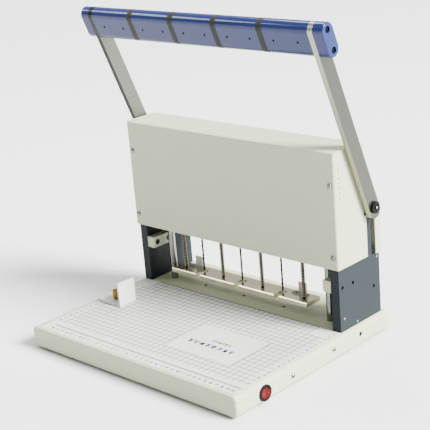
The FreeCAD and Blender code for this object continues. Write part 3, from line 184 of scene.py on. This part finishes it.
LOOKS = {
    "cream_paint": finish("cream_paint", (0.37, 0.39, 0.265), 0.42, grain=900, bump=0.05, vary=0.015),
    "grey_blue_paint": finish(
        "grey_blue_paint", (0.011, 0.0155, 0.018), 0.5, grain=900, bump=0.05, vary=0.04, shine=0.12
    ),
    "zinc_steel": finish("zinc_steel", (0.30, 0.30, 0.28), 0.35, metal=1.0, grain=500),
    "rubber": finish("rubber", (0.015, 0.015, 0.015), 0.8, grain=700, bump=0.2),
    "chrome": finish("chrome", (0.22, 0.22, 0.21), 0.14, metal=1.0, grain=700, bump=0.01, rough_vary=0.03),
    "black_plastic": finish(
        "black_plastic", (0.002, 0.002, 0.002), 0.5, grain=800, bump=0.05, shine=0.08
    ),
    "red_plastic": finish("red_plastic", (0.062, 0.0008, 0.0006), 0.35, grain=600, shine=0.12),
    "black_steel": finish(
        "black_steel", (0.016, 0.011, 0.007), 0.45, metal=0.3, grain=900, vary=0.25, shine=0.3
    ),
    "bearing_bronze": finish("bearing_bronze", (0.50, 0.34, 0.16), 0.3, metal=1.0, grain=500),
    "satin_steel": finish(
        "satin_steel", (0.105, 0.107, 0.094), 0.34, metal=1.0, grain=260, stretch=(6, 6, 0.25),
        bump=0.08, vary=0.08,
    ),
    "blue_grip": finish(
        "blue_grip", (0.006, 0.014, 0.078), 0.2, grain=500, coat=0.45, bump=0.01, vary=0.05, shine=0.1
    ),
    "grey_band": finish("grey_band", (0.016, 0.017, 0.013), 0.5, grain=500, bump=0.05, shine=0.15),
    "gear_steel": finish("gear_steel", (0.38, 0.38, 0.37), 0.35, metal=1.0, grain=600),
    "head_aluminium": finish(
        "head_aluminium", (0.62, 0.62, 0.62), 0.36, metal=1.0, grain=500, stretch=(0.3, 5, 5)
    ),
    "motor_paint": finish("motor_paint", (0.03, 0.03, 0.035), 0.4, grain=800, bump=0.08),
    "polished_steel": finish(
        "polished_steel", (0.66, 0.60, 0.44), 0.24, metal=1.0, grain=300, bump=0.0, vary=0.02, rough_vary=0.02
    ),
    "white_plastic": finish("white_plastic", (0.60, 0.61, 0.56), 0.3, grain=500, vary=0.02),
    "brass": finish("brass", (0.30, 0.18, 0.045), 0.28, metal=1.0, grain=600, vary=0.1),
    "mat_print": finish("mat_print", (0.46, 0.475, 0.42), 0.5, grain=600, vary=0.01),
    "spring_steel": finish("spring_steel", (0.42, 0.37, 0.28), 0.36, metal=0.75, grain=900, vary=0.2),
    # The two arms' steel in lit and shaded copies: painted reflections make the left arm's edges dark and the
    # right arm's edges light.
    "left_arm_painted_reflection": edge_lit("left_arm_painted_reflection", (0.15, 0.152, 0.13), (0.02, 0.02, 0.02)),
    "right_arm_painted_reflection": edge_lit("right_arm_painted_reflection", (0.10, 0.102, 0.088), (0.30, 0.29, 0.23)),
    "lug_steel": finish("lug_steel", (0.30, 0.30, 0.28), 0.34, metal=1.0, grain=300, bump=0.05),
}
# Nodes whose look differs from their material slot's. The clamp rods take black steel and the grip's end-cap
# screws black plastic as painted shade: the rods stand in shadow inside the springs, the screws in dark
# recesses.
OWN_LOOKS = {
    "clamp_rods": "black_steel", "grip_screws": "black_plastic", "clamp_springs": "spring_steel",
    # Each arm takes its own copy of steel with painted reflections on its edges and faces.
    "lever_arm_left": "left_arm_painted_reflection", "lever_arm_right": "right_arm_painted_reflection", "clamp_lugs": "lug_steel",
}
for part in frame["record"]["subparts"]:
    mesh = nodes[part["node"]].data
    mesh.materials.clear()
    mesh.materials.append(LOOKS[OWN_LOOKS.get(part["node"], part["material_slot"])])


# ---- floor and light -----------------------------------------------------------------
floor_mesh = bpy.data.meshes.new("floor")
FLOOR_HALF = 30.0
floor_corners = [(-FLOOR_HALF, -FLOOR_HALF, 0), (FLOOR_HALF, -FLOOR_HALF, 0)]
floor_corners += [(FLOOR_HALF, FLOOR_HALF, 0), (-FLOOR_HALF, FLOOR_HALF, 0)]
floor_mesh.from_pydata(floor_corners, [], [(0, 1, 2, 3)])
floor = bpy.data.objects.new("floor", floor_mesh)
bpy.context.scene.collection.objects.link(floor)
floor_mesh.materials.append(finish("floor_look", (0.62, 0.62, 0.615), 0.8, grain=40, bump=0.0, vary=0.005))


def add_world(low_strength, high_strength):
    """Pale light from all round, dimmer overhead than it is from the sides."""
    world = bpy.data.worlds.new("studio")
    bpy.context.scene.world = world
    world.use_nodes = True
    tree = world.node_tree
    place = tree.nodes.new("ShaderNodeTexCoord")
    split = tree.nodes.new("ShaderNodeSeparateXYZ")
    fade = tree.nodes.new("ShaderNodeMapRange")
    fade.inputs["From Min"].default_value = 0.62
    fade.inputs["From Max"].default_value = 1.0
    fade.inputs["To Min"].default_value = low_strength
    fade.inputs["To Max"].default_value = high_strength
    tree.links.new(place.outputs["Generated"], split.inputs["Vector"])
    tree.links.new(split.outputs["Z"], fade.inputs["Value"])
    tree.links.new(fade.outputs["Result"], tree.nodes["Background"].inputs["Strength"])
    tree.nodes["Background"].inputs["Color"].default_value = (1.0, 1.0, 0.98, 1.0)


def aim(thing, place, target):
    """Puts a lamp at a place and turns it towards a target."""
    bpy.context.scene.collection.objects.link(thing)
    thing.location = place
    thing.rotation_mode = "QUATERNION"
    thing.rotation_quaternion = (Vector(target) - Vector(place)).to_track_quat("-Z", "Y")


def add_sun(name, place, target, strength, spread):
    """A sun whose disc is spread degrees wide, so that shadows stay soft."""
    lamp = bpy.data.lights.new(name, "SUN")
    lamp.energy = strength
    lamp.angle = math.radians(spread)
    aim(bpy.data.objects.new(name, lamp), place, target)


def add_softbox(name, place, target, wide, tall, power):
    """A rectangular lamp."""
    lamp = bpy.data.lights.new(name, "AREA")
    lamp.shape = "RECTANGLE"
    lamp.size = wide
    lamp.size_y = tall
    lamp.energy = power
    aim(bpy.data.objects.new(name, lamp), place, target)


add_world(0.80, 0.35)
add_sun("key_sun", (2.0, 0.45, 1.5), (0, 0, 0), 26.0, 24)
add_softbox("edge_softbox", (-1.25, -0.62, 1.45), (0, 0.08, 0.06), 0.7, 0.35, 11)
add_softbox("top_softbox", (-0.3, 0.9, 1.9), (0, 0.1, 0.3), 1.8, 0.5, 40)


# ---- building visual pieces ----------------------------------------------------------
def add_piece(name, parts, body, look, stands_for=(), smooth=40):
    """A piece made of collected parts, riding on a body; edges sharper than smooth degrees stay crisp."""
    mesh = parts.mesh(name)
    piece = bpy.data.objects.new(name, mesh)
    bpy.context.scene.collection.objects.link(piece)
    mesh.materials.clear()
    mesh.materials.append(look)
    if smooth:
        for face in mesh.polygons:
            face.use_smooth = True
        mark_sharp(mesh, math.radians(smooth))
    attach(piece, body)
    if stands_for:
        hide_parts(*stands_for)
    return piece


def mark_sharp(mesh, limit):
    """Keeps a mesh's sharp edges crisp under smooth shading."""
    made = bmesh.new()
    made.from_mesh(mesh)
    for edge in made.edges:
        edge.smooth = len(edge.link_faces) == 2 and edge.calc_face_angle(0.0) < limit
    made.to_mesh(mesh)
    made.free()


def mesh_of(name, points, faces):
    """A mesh whose faces all look outwards."""
    mesh = bpy.data.meshes.new(name)
    mesh.from_pydata(points, [], faces)
    mesh.validate()
    made = bmesh.new()
    made.from_mesh(mesh)
    bmesh.ops.recalc_face_normals(made, faces=made.faces)
    made.to_mesh(mesh)
    made.free()
    return mesh


class Parts:
    """Collects points and faces of several shapes into one mesh."""

    def __init__(self):
        self.points = []
        self.faces = []

    def add(self, points, faces):
        start = len(self.points)
        self.points += [tuple(point) for point in points]
        self.faces += [tuple(start + corner for corner in face) for face in faces]

    def box(self, low, high):
        (x0, y0, z0), (x1, y1, z1) = low, high
        corners = [(x, y, z) for z in (z0, z1) for y in (y0, y1) for x in (x0, x1)]
        self.add(corners, [
            (0, 2, 3, 1), (4, 5, 7, 6), (0, 1, 5, 4), (2, 6, 7, 3), (0, 4, 6, 2), (1, 3, 7, 5),
        ])

    def lathe(self, profile, centre, along, steps=32):
        """Turns a profile of (radius, height) pairs about an axis through the centre."""
        turn = Vector((0, 0, 1)).rotation_difference(Vector(along)).to_matrix()
        points = []
        for radius, height in profile:
            for step in range(steps):
                angle = 2 * math.pi * step / steps
                spot = Vector((radius * math.cos(angle), radius * math.sin(angle), height))
                points.append(turn @ spot + Vector(centre))
        self.skin(points, steps)

    def skin(self, points, around):
        """A closed skin over rings of points, each ring with the same number around."""
        rings = len(points) // around
        faces = []
        for start in range(0, (rings - 1) * around, around):
            for step in range(around):
                after = (step + 1) % around
                faces.append((start + step, start + after, start + around + after, start + around + step))
        faces.append(tuple(reversed(range(around))))
        faces.append(tuple((rings - 1) * around + step for step in range(around)))
        self.add(points, faces)

    def mesh(self, name):
        return mesh_of(name, self.points, self.faces)


def soften(node, width, segments=2, limit=35):
    """A small rounding on a CAD node's edges."""
    rounding = nodes[node].modifiers.new("soft_edges", "BEVEL")
    rounding.width = width
    rounding.segments = segments
    rounding.limit_method = "ANGLE"
    rounding.angle_limit = math.radians(limit)
    rounding.use_clamp_overlap = True
    rounding.harden_normals = False


# ---- twist drills --------------------------------------------------------------------
def stretching_springs(name, node):
    """The CAD's coil springs as one fixed copy in the spring look, put in place of the CAD node."""
    mesh = nodes[node].data.copy()
    mesh.name = name
    springs = bpy.data.objects.new(name, mesh)
    bpy.context.scene.collection.objects.link(springs)
    mesh.materials.clear()
    mesh.materials.append(LOOKS["spring_steel"])
    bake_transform(springs)
    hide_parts(node)


def twist_drill(low, high):
    """A twist drill standing on its point, fluted up to a plain shank."""
    around = 28
    levels = 130
    length = high.z - low.z
    radius = (high.x - low.x) / 2
    centre = (low + high) / 2
    fluted = 0.80 * length
    run_out = 0.04 * length
    lead = 9.0 * radius
    flute = 0.42
    tip_flat = 0.06
    tip_tall = 0.6 * radius
    points = []
    for level in range(levels + 1):
        height = length * level / levels
        twist = 2 * math.pi * min(height, fluted) / lead
        reach = min(1.0, max(tip_flat, height / tip_tall))
        depth = flute if height < fluted else max(0.0, flute * (1 - (height - fluted) / run_out))
        for step in range(around):
            angle = 2 * math.pi * step / around
            valley = max(0.0, math.cos(2 * angle)) ** 1.3
            spot = radius * reach * (1 - depth * valley)
            points.append((
                centre.x + spot * math.cos(angle + twist), centre.y + spot * math.sin(angle + twist),
                low.z + height,
            ))
    drill = Parts()
    drill.skin(points, around)
    return drill


for word in ("left", "middle", "right"):
    add_piece(
        f"twist_drill_{word}", twist_drill(*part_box(f"drill_{word}")), f"drill_unit_{word}",
        LOOKS["black_steel"], [f"drill_{word}"], smooth=50,
    )


# ---- springs -------------------------------------------------------------------------
stretching_springs("clamp_spring_coils", "clamp_springs")
stretching_springs("return_spring_coils", "return_springs")


# ---- screws --------------------------------------------------------------------------
def pan_head(parts, centre, outward, radius, tall):
    """A rounded screw head standing on its centre."""
    rim = 0.35 * tall
    crown_flat = 0.02 * radius
    profile = [(radius * 0.55, 0.0), (radius, 0.0), (radius, rim)]
    for step in range(1, 6):
        angle = math.pi / 2 * step / 5
        across = crown_flat + (radius - crown_flat) * math.cos(angle)
        profile.append((across, rim + (tall - rim) * math.sin(angle)))
    parts.lathe(profile, centre, outward, steps=28)


def cross_recess(parts, centre, outward, size, lift):
    """Two thin dark bars of painted shade that read as a cross recess, their tops lifted off the centre."""
    outward = Vector(outward)
    arm = 0.24 * size
    deep = 0.4 * size
    side = Vector((0, 0, 1)) if abs(outward.z) < 0.5 else Vector((1, 0, 0))
    other = outward.cross(side)
    for first, second in ((side, other), (other, side)):
        corners = []
        for level in (-0.5, 0.0):
            for a, b in ((-1, -1), (1, -1), (1, 1), (-1, 1)):
                spot = first * (a * size) + second * (b * arm) + outward * (lift + level * deep)
                corners.append(Vector(centre) + spot)
        parts.add(corners, [
            (3, 2, 1, 0), (4, 5, 6, 7), (0, 1, 5, 4), (1, 2, 6, 5), (2, 3, 7, 6), (3, 0, 4, 7),
        ])


hood_low, hood_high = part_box("hood")
screws_low, screws_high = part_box("hood_screws")
heads = Parts()
hood_recess_shade = Parts()
head_radius, head_tall = 0.0035, 0.0021
washer_radius, washer_tall, washer_rim = 0.0046, 0.0008, 0.0006
shank_radius, shank_long = 0.0019, 0.003
recess_size, recess_top = 0.0018, 0.00208
front_x = screws_high.x - washer_radius
front_rows = (screws_low.z + washer_radius, 0.2505)
back_row = 0.276
spots = [(side * front_x, hood_low.y, z, -1) for side in (-1, 1) for z in front_rows]
spots += [(side * x, hood_high.y, back_row, 1) for side in (-1, 1) for x in (0.060, 0.186)]
for x, y, z, facing in spots:
    outward = (0, facing, 0)
    seat = (x, y + facing * washer_tall, z)
    washer = [(head_radius * 0.6, 0.0), (washer_radius, 0.0)]
    washer += [(washer_radius, washer_rim), (head_radius, washer_tall)]
    heads.lathe(washer, (x, y, z), outward, steps=32)
    pan_head(heads, seat, outward, head_radius, head_tall)
    heads.lathe(
        [(shank_radius, 0.0), (shank_radius, shank_long)], (x, y - facing * shank_long, z), outward, steps=12
    )
    cross_recess(hood_recess_shade, seat, outward, recess_size, recess_top)
add_piece("hood_pan_screws", heads, "head", LOOKS["chrome"], ["hood_screws"])
# Black bars as painted shade in the screw heads' cross recesses.
add_piece("hood_screw_recess_shade", hood_recess_shade, "head", LOOKS["black_plastic"], smooth=0)

# The base's side screws get the same painted shade of a cross recess.
side_screws_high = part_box("side_screws")[1]
recess_x = side_screws_high.x - 0.0004
side_recess_shade = Parts()
for side in (-1, 1):
    for y, z in ((-0.0533, 0.0188), (0.0361, 0.0222)):
        cross_recess(side_recess_shade, (side * recess_x, y, z), (side, 0, 0), 0.0020, 0.0004)
add_piece("side_screw_recess_shade", side_recess_shade, "frame", LOOKS["black_plastic"], smooth=0)

caps_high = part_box("arm_caps")[1]
cap_centres = Parts()
for side in (-1, 1):
    cap_centres.lathe(
        [(0.0019, -0.0006), (0.0019, 0.0002), (0.0015, 0.0005)],
        (side * caps_high.x, PIVOT.y, PIVOT.z), (side, 0, 0), steps=24,
    )
add_piece("arm_cap_centres", cap_centres, "lever", LOOKS["chrome"])


# ---- dimples in the grip -------------------------------------------------------------
LEAN = Matrix.Rotation(math.radians(21.6), 4, "X")
dimple_pitch, dimple_apart = 0.0817, 0.0203  # from one grip section to the next, and to a section's middle
dimple_up, dimple_front = 0.271, -0.0114
dimple_radius, dimple_start, dimple_deep = 0.00175, 0.0008, 0.0066


def on_lever(x, y, z):
    """A place given along the lever's own leaning Z, in the machine's frame."""
    return PIVOT + LEAN @ Vector((x, y, z))


# Black cups sunk in the grip's dimples, as painted shade in the pockets.
dimple_shade = Parts()
for step in range(-2, 3):
    for side in (-1, 1):
        front = on_lever(dimple_pitch * step + side * dimple_apart, dimple_front, dimple_up)
        dimple_shade.lathe(
            [(dimple_radius, dimple_start), (dimple_radius, dimple_deep), (0.0002, 0.0068)],
            front, LEAN @ Vector((0, 1, 0)), steps=20,
        )
add_piece("grip_dimple_painted_shade", dimple_shade, "lever", LOOKS["black_plastic"])


# ---- work mat ------------------------------------------------------------------------
INK = finish("mat_ink", (0.005, 0.030, 0.050), 0.6, grain=900, vary=0.15, shine=0.2)
BLUE_INK = finish("blue_ink", (0.004, 0.010, 0.09), 0.5, grain=900, vary=0.1, shine=0.2)
LINE = 0.00006  # how thick the print is
GRID_PEN = 0.00100
GRID_STEP = 0.010
mat_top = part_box("table_mat")[1].z


def flat_bar(parts, x0, y0, x1, y1, wide):
    """A thin printed line from one point to another along X or Y."""
    half = wide / 2
    if abs(x1 - x0) >= abs(y1 - y0):
        parts.box((x0, y0 - half, mat_top), (x1, y0 + half, mat_top + LINE))
    else:
        parts.box((x0 - half, y0, mat_top), (x0 + half, y1, mat_top + LINE))


knob_low, knob_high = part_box("gauge_knob")
knob_centre = (knob_low + knob_high) / 2
SLOT_X = (knob_centre.x - 0.0070, knob_centre.x + 0.0150)
SLOT_Y = (knob_centre.y - 0.0026, knob_centre.y + 0.0026)


def grid_line(parts, x0, y0, x1, y1):
    """A line of the grid, broken where it meets the paper gauge's slot."""
    if x0 == x1 and SLOT_X[0] < x0 < SLOT_X[1]:
        flat_bar(parts, x0, y0, x1, SLOT_Y[0], GRID_PEN)
        flat_bar(parts, x0, SLOT_Y[1], x1, y1, GRID_PEN)
    elif y0 == y1 and SLOT_Y[0] < y0 < SLOT_Y[1]:
        flat_bar(parts, x0, y0, SLOT_X[0], y1, GRID_PEN)
        flat_bar(parts, SLOT_X[1], y0, x1, y1, GRID_PEN)
    else:
        flat_bar(parts, x0, y0, x1, y1, GRID_PEN)


# The grid's edges, from the middle drill. Its two back corners are left plain.
LEFT, RIGHT, NEAR, FAR = -0.166, 0.198, -0.227, -0.029
CORNER_LEFT, CORNER_RIGHT, CORNER_NEAR = -0.150, 0.170, -0.055
lines = Parts()
for step in range(-16, 20):
    x = step * GRID_STEP
    stop = FAR if CORNER_LEFT <= x <= CORNER_RIGHT else CORNER_NEAR
    grid_line(lines, x + MIDDLE_X, NEAR + MIDDLE_Y, x + MIDDLE_X, stop + MIDDLE_Y)
for step in range(-22, -2):
    y = step * GRID_STEP
    start, stop = (CORNER_LEFT, CORNER_RIGHT) if y > CORNER_NEAR else (LEFT, RIGHT)
    grid_line(lines, start + MIDDLE_X, y + MIDDLE_Y, stop + MIDDLE_X, y + MIDDLE_Y)
add_piece("mat_grid", lines, "frame", INK, smooth=0)

# A front scale in millimetres, longer at every fifth and tenth.
SCALE_Y = MIDDLE_Y - 0.2350
TICK_PEN = 0.00062
ticks = Parts()
for step in range(-165, 206):
    tall = 0.006 if step % 10 == 0 else 0.0042 if step % 5 == 0 else 0.0026
    x = step * MM + MIDDLE_X
    flat_bar(ticks, x, SCALE_Y - tall, x, SCALE_Y, TICK_PEN)
# A digit's strokes: a is its top, and b to f go round from there to its upper left; g is its middle.
SEGMENTS = {
    "0": "abcdef", "1": "bc", "2": "abged", "3": "abgcd", "4": "fgbc", "5": "afgcd", "6": "afgedc", "7": "abc",
    "8": "abcdefg", "9": "abfgcd",
}


def scale_number(parts, text, x, y, tall):
    """Plain block digits for the mat's scales, read from the front and centred on x."""
    wide = tall * 0.5
    pen = tall * 0.22
    x -= (len(text) * wide * 1.5 - wide * 0.5) / 2
    for digit in text:
        ends = {
            "a": (x, y + tall, x + wide, y + tall), "b": (x + wide, y + tall / 2, x + wide, y + tall),
            "c": (x + wide, y, x + wide, y + tall / 2), "d": (x, y, x + wide, y),
            "e": (x, y, x, y + tall / 2), "f": (x, y + tall / 2, x, y + tall),
            "g": (x, y + tall / 2, x + wide, y + tall / 2),
        }
        for key in SEGMENTS[digit]:
            flat_bar(parts, *ends[key], pen)
        x += wide * 1.5


for step in range(-16, 21):
    scale_number(ticks, str(abs(step)), step * GRID_STEP + MIDDLE_X, -0.2486 + MIDDLE_Y, 0.0046)
for step in range(3, 23):
    for x in (-0.1725, 0.2035):
        scale_number(ticks, str(step), x + MIDDLE_X, -step * GRID_STEP - 0.0018 + MIDDLE_Y, 0.0037)
add_piece("mat_scales", ticks, "frame", INK, smooth=0)

# A heavier line shows where the paper's edge lies against the gauge.
datum_x = -0.1305 + MIDDLE_X
datum = Parts()
flat_bar(datum, datum_x, -0.170 + MIDDLE_Y, datum_x, -0.030 + MIDDLE_Y, 0.0012)
add_piece("mat_datum", datum, "frame", BLUE_INK, smooth=0)

panel = Parts()
panel_low = (0.024 + MIDDLE_X, -0.196 + MIDDLE_Y)
panel_high = (0.148 + MIDDLE_X, -0.110 + MIDDLE_Y)
panel.box((*panel_low, mat_top), (*panel_high, mat_top + 2 * LINE))
add_piece("mat_panel", panel, "frame", LOOKS["mat_print"], smooth=0)


def stamp_bar(parts, x0, y0, x1, y1, wide):
    """A printed stroke that stands a little above the plain panel."""
    half = wide / 2
    if y0 == y1:
        parts.box((x0, y0 - half, mat_top + LINE), (x1, y0 + half, mat_top + 3 * LINE))
    else:
        parts.box((x0 - half, y0, mat_top + LINE), (x0 + half, y1, mat_top + 3 * LINE))


def stamp_row(parts, count, x0, y0, tall, gap):
    """A row of plain square stamps, each a few crossed strokes, in place of printed words."""
    pen = tall * 0.32
    for number in range(count):
        x = x0 + number * (tall + gap)
        levels = ((0.12, 0.52, 0.90), (0.20, 0.85), (0.10, 0.45, 0.72), (0.30, 0.92))[number % 4]
        for level in levels:
            inset = tall * 0.12 * ((number + round(level * 10)) % 3)
            stamp_bar(parts, x + inset, y0 + level * tall, x + tall - inset, y0 + level * tall, pen)
        post = x + tall * (0.5, 0.25, 0.75)[number % 3]
        stamp_bar(parts, post, y0, post, y0 + tall, pen)


words = Parts()
stamp_row(words, 8, panel_low[0] + 0.018, panel_low[1] + 0.028, 0.0078, 0.0032)
stamp_row(words, 6, panel_low[0] + 0.050, panel_low[1] + 0.045, 0.0048, 0.0012)
add_piece("mat_panel_marks", words, "frame", BLUE_INK, smooth=0)

RIM_PEN = 0.0005
rim = Parts()
for y in (panel_low[1], panel_high[1]):
    stamp_bar(rim, panel_low[0], y, panel_high[0], y, RIM_PEN)
for x in (panel_low[0], panel_high[0]):
    stamp_bar(rim, x, panel_low[1], x, panel_high[1], RIM_PEN)
add_piece("mat_panel_rim", rim, "frame", INK, smooth=0)

# A column of small plain marks up the hood's right side.
side_marks = Parts()
for number in range(8):
    z = hood_high.z - 0.016 - 0.0068 * number
    tall = (0.0012, 0.0026, 0.0018, 0.0030)[number % 4]
    side_marks.box(
        (hood_high.x - 0.0002, hood_low.y + 0.0095, z - tall), (hood_high.x + LINE, hood_low.y + 0.0112, z)
    )
add_piece("hood_side_marks", side_marks, "head", LOOKS["black_plastic"], smooth=0)


# ---- switch --------------------------------------------------------------------------
base_side = 0.2045
bezel_low, bezel_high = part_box("switch_bezel")
switch_centre = Vector((base_side, (bezel_low.y + bezel_high.y) / 2, (bezel_low.z + bezel_high.z) / 2))
ring = Parts()
ring.lathe([
    (0.0101, -0.0060), (0.0101, 0.0), (0.0114, 0.0), (0.0115, 0.0008), (0.0112, 0.0015), (0.0105, 0.00195),
    (0.0094, 0.00195), (0.0086, 0.0014), (0.0081, 0.0006), (0.0080, -0.0060),
], switch_centre, (1, 0, 0), steps=56)
ring.faces = [face for face in ring.faces if len(face) == 4]  # the bezel's bore stays open
add_piece("switch_rim", ring, "frame", LOOKS["black_plastic"])

# A dot on each half of the rocker, whose two faces meet at its hinge in a shallow V.
ROCKER_TILT = 8
hinge = Vector((0.2025, switch_centre.y, switch_centre.z))
dots = Parts()
for side in (-1, 1):
    spot = Vector((0.00435 + 0.0004 * (side > 0), side * 0.0042, 0))
    turn = Matrix.Rotation(math.radians(-ROCKER_TILT), 3, "Z")
    outward = Matrix.Rotation(math.radians((side - 1) * ROCKER_TILT), 3, "Z") @ Vector((1, 0, 0))
    dots.lathe([(0.0009, -0.0012), (0.0009, 0.0003), (0.0006, 0.0004)], hinge + turn @ spot, outward, steps=16)
rocker_mark = finish("rocker_mark", (0.10, 0.003, 0.002), 0.4, grain=600)
add_piece("switch_dots", dots, "rocker", rocker_mark)


# ---- gauge knob ----------------------------------------------------------------------
RIBS = 36
STEPS_PER_RIB = 4
RIB_DEEP = 0.00032
FULL_RADIUS = 0.0051  # rings wider than this are knurled
knob_profile = [
    (0.0030, 0.0400), (0.0050, 0.0402), (0.0054, 0.0408), (0.0054, 0.0520), (0.0049, 0.0529), (0.0030, 0.0531),
]
points = []
steps = RIBS * STEPS_PER_RIB
for radius, height in knob_profile:
    for step in range(steps):
        angle = 2 * math.pi * step / steps
        cut = RIB_DEEP if step % STEPS_PER_RIB in (2, 3) and radius > FULL_RADIUS else 0.0
        x = knob_centre.x + (radius - cut) * math.cos(angle)
        y = knob_centre.y + (radius - cut) * math.sin(angle)
        points.append((x, y, height))
knurl = Parts()
knurl.skin(points, steps)
axis = (knob_centre.x, knob_centre.y, 0.0)
for profile, around in (
    ([(0.0036, 0.0379), (0.0036, 0.0402)], 32),  # neck
    ([(0.0020, knob_low.z), (0.0020, 0.0385)], 20),  # stud, down through the slot
    ([(0.0022, 0.0530), (0.0022, 0.0535), (0.0016, 0.0535)], 24),  # button on top
):
    knurl.lathe(profile, axis, (0, 0, 1), steps=around)
add_piece("knurled_knob", knurl, "knob", LOOKS["brass"], ["gauge_knob"], smooth=25)


# ---- softened edges on folded and cut pieces -----------------------------------------
for name, width in (
    ("column_left", 0.0009), ("column_right", 0.0009), ("stop_blocks", 0.0006), ("rear_cover", 0.0005),
    ("lever_arm_left", 0.0005), ("lever_arm_right", 0.0005), ("paper_gauge", 0.0005), ("clamp_lugs", 0.0003),
    ("clamp_bar", 0.0003), ("grip_bands", 0.0002), ("arm_caps", 0.0006), ("rod_anchors", 0.0004),
    ("lower_plate", 0.0004), ("upper_plate", 0.0004), ("head_back_plate", 0.0004), ("cross_tie", 0.0004),
    ("drill_motor", 0.0010), ("stop_bolts", 0.0003), ("column_screws", 0.0004), ("gauge_nut", 0.0003),
    ("power_inlet", 0.0004),
):
    soften(name, width)
